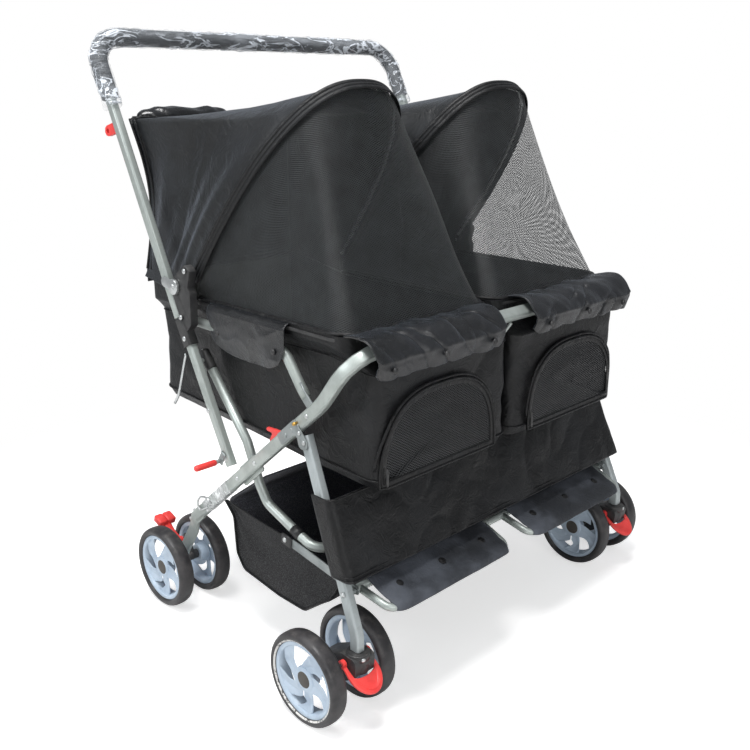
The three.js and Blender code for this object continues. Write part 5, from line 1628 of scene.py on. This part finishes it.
def with_the_legs(piece):
    """Bakes a basket piece's placement into its mesh."""
    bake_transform(piece)


def slump(piece):
    """Gives a piece of the basket's front a mesh of its own."""
    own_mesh(piece)


def basket_floor():
    """The felt that hangs behind and under the basket in one piece."""
    line = side_points([BASKET_BACK_TOP, BASKET_REAR, *BASKET_FLOOR, (-384, 233)])
    ribbon = sampled(bend(line, 14, 5))

    def place(u, v):
        here = ribbon(v)
        return Vector((mix(-BASKET_X, BASKET_X, u), here.y, here.z))

    def sag(u, v):
        return 4.0 * wobble(u * 9, v * 8, 1) * math.sin(math.pi * v)

    bm = cloth_mesh(130, 90, place, (628, 640), sag)
    floor = make_piece("basket_floor", bm, "felt", solid=2.2, normals=False)
    # The floor's inner face takes the paler felt: painted light in the basket's shade.
    line_inside(floor, "felt_inside_painted_light")
    with_the_legs(floor)
    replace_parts(floor, "basket")


def basket_side(side, word, top, low):
    """A side wall between its top line and the floor's edge, with a piped hem."""

    def place(u, v):
        here = top(u).lerp(low(u), v)
        return Vector((side * (BASKET_X + 1.5), here.y, here.z))

    def belly(u, v):
        swell = 7 * math.sin(math.pi * u) * math.sin(math.pi * min(v * 1.05, 1))
        return -side * (swell + 2.5 * wobble(u * 7, v * 4, 0, side) * math.sin(math.pi * v))

    bm = cloth_mesh(90, 44, place, (300, 120), belly, flip=side < 0)
    wall = make_piece(f"basket_side_{word}", bm, "felt", solid=2.0, normals=False)
    # The wall's inner face takes the paler felt: painted light in the basket's shade.
    line_inside(wall, "felt_inside_painted_light")
    with_the_legs(wall)
    hem = [place(u / 80, 0.97) + Vector((side * 1.8, 0, 0)) for u in range(81)]
    piping = make_piece(f"basket_piping_{word}", sweep_mesh(hem, round_section(1.8, 8)), "piping")
    with_the_legs(piping)


def basket_front():
    """The oxford panel across the front, wrapped round both corners and piped along its edges."""
    corners = [(-PANEL_X, PANEL_DEPTH, 0), (-PANEL_X, 0, 0), (PANEL_X, 0, 0), (PANEL_X, PANEL_DEPTH, 0)]
    wrap = sampled(bend(corners, 12, 8))

    def place(u, v):
        here = wrap(u)
        y, z = mix(PANEL_TOP[0], PANEL_BOTTOM[0], v), mix(PANEL_TOP[1], PANEL_BOTTOM[1], v)
        narrow = 1 - 5 / PANEL_X * (1 - v)
        return Vector((here.x * narrow, here.y + y, z))

    def ripple(u, v):
        middle = math.sin(math.pi * u) ** 0.5
        soft = 6.0 * wobble(u * 6, v * 1.5, 0) + 2.0 * wobble(u * 22, v * 4, 3)
        return (soft + 2.6 * crease(u * 9 + v, v * 1.2 - u, 2)) * middle

    bm = cloth_mesh(260, 40, place, (800, 125), ripple)
    front = make_piece("basket_front", bm, "oxford", "legs", 2.0, normals=False)
    slump(front)
    for label, level, radius in (("hem", 0.985, 1.8), ("seam", 0.93, 0.8), ("top", 0.01, 1.6)):
        line = [place(u / 200, level) + Vector((0, -1.6, 0)) for u in range(201)]
        slump(sweep(f"basket_front_{label}", line, round_section(radius, 8), "piping", "legs"))


def basket():
    basket_floor()
    top_line = [BASKET_REAR, (-110, 226), (-205, 219), (-270, 206), BASKET_SIDE_FRONT]
    top = sampled(smooth_path(side_points(top_line), 6))
    low = sampled(bend(side_points([BASKET_REAR, *BASKET_FLOOR, BASKET_SIDE_FRONT]), 16, 6))
    for side, _, word in SIDES:
        basket_side(side, word, top, low)
    basket_front()


basket()


# ---- Footrests ----

FOOT_TUBE_R = 6.5
FOOT_BAR, FOOT_FRONT, FOOT_X = (-360, 202), (-418, 184), (34, 306)
FOOT_BAR_HALF = 350 - 3 - 7.8  # from the middle to the inner face of a leg, less a clearance
EYELETS, EYELET_ROW = (0.14, 0.5, 0.86), 0.55  # shares across the pad, and down it


def footrest_pad(side, word):
    """The canvas pad laid over a loop, with three eyelets."""
    near, far = FOOT_X
    over_bar = [(-346, 205), (-350, 212.5), (-362, 215), (-382, 206)]
    over_loop = [(-402, 198), (-417, 194.5), (-428, 190), (-433, 182)]
    profile = sampled(smooth_path(side_points(over_bar + over_loop), 6))

    def place(u, v):
        here = profile(v)
        cut = 16 * (1 - math.sqrt(max(0.0, 1 - (2 * abs(u - 0.5)) ** 14))) * smoothstep(0.5, 1, v)
        return Vector((side * mix(near, far, u), here.y + cut, here.z))

    def ruck(u, v):
        dent = sum(math.exp(-((u - c) ** 2) / 0.003 - (v - EYELET_ROW) ** 2 / 0.03) for c in EYELETS)
        soft = 2.6 * wobble(u * 5, v * 2, 0, side) + 0.8 * wobble(u * 14, v * 5, 1, side)
        return side * (soft - 1.8 * dent + 0.5)

    bm = cloth_mesh(160, 48, place, (272, 90), ruck, flip=side > 0)
    piece = make_piece(f"footrest_pad_{word}", bm, "pad", "legs", solid=2.4, normals=False)
    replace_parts(piece, f"footrest_{word}")
    places = [place(share, EYELET_ROW) + Vector((0, 0, 0.6)) for share in EYELETS]
    rivets(f"footrest_eyelets_{word}", places, 7.0, 2.6, "piping", "legs", axis=(0, -0.35, 1))


def footrests():
    """The bar between the legs, a loop in front of it on each side, and their pads."""
    bar = [Vector((x, *FOOT_BAR)) for x in (-FOOT_BAR_HALF, 0, FOOT_BAR_HALF)]
    tube = sweep("footrest_bar", bar, round_section(FOOT_TUBE_R), "tube", "legs", across=(0, 1, 0))
    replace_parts(tube, "footrest_frame")
    near, far = FOOT_X
    for side, _, word in SIDES:
        inner = [(near - 8, *FOOT_BAR), (near - 2, *FOOT_FRONT)]
        outer = [(far + 4, *FOOT_FRONT), (far + 14, *FOOT_BAR)]
        path = bend([Vector((side * x, y, z)) for x, y, z in inner + outer], 17, 8)
        loop = round_section(FOOT_TUBE_R - 0.3)
        sweep(f"footrest_loop_{word}", path, loop, "tube", "legs", across=(0, 1, 0))
        footrest_pad(side, word)


footrests()
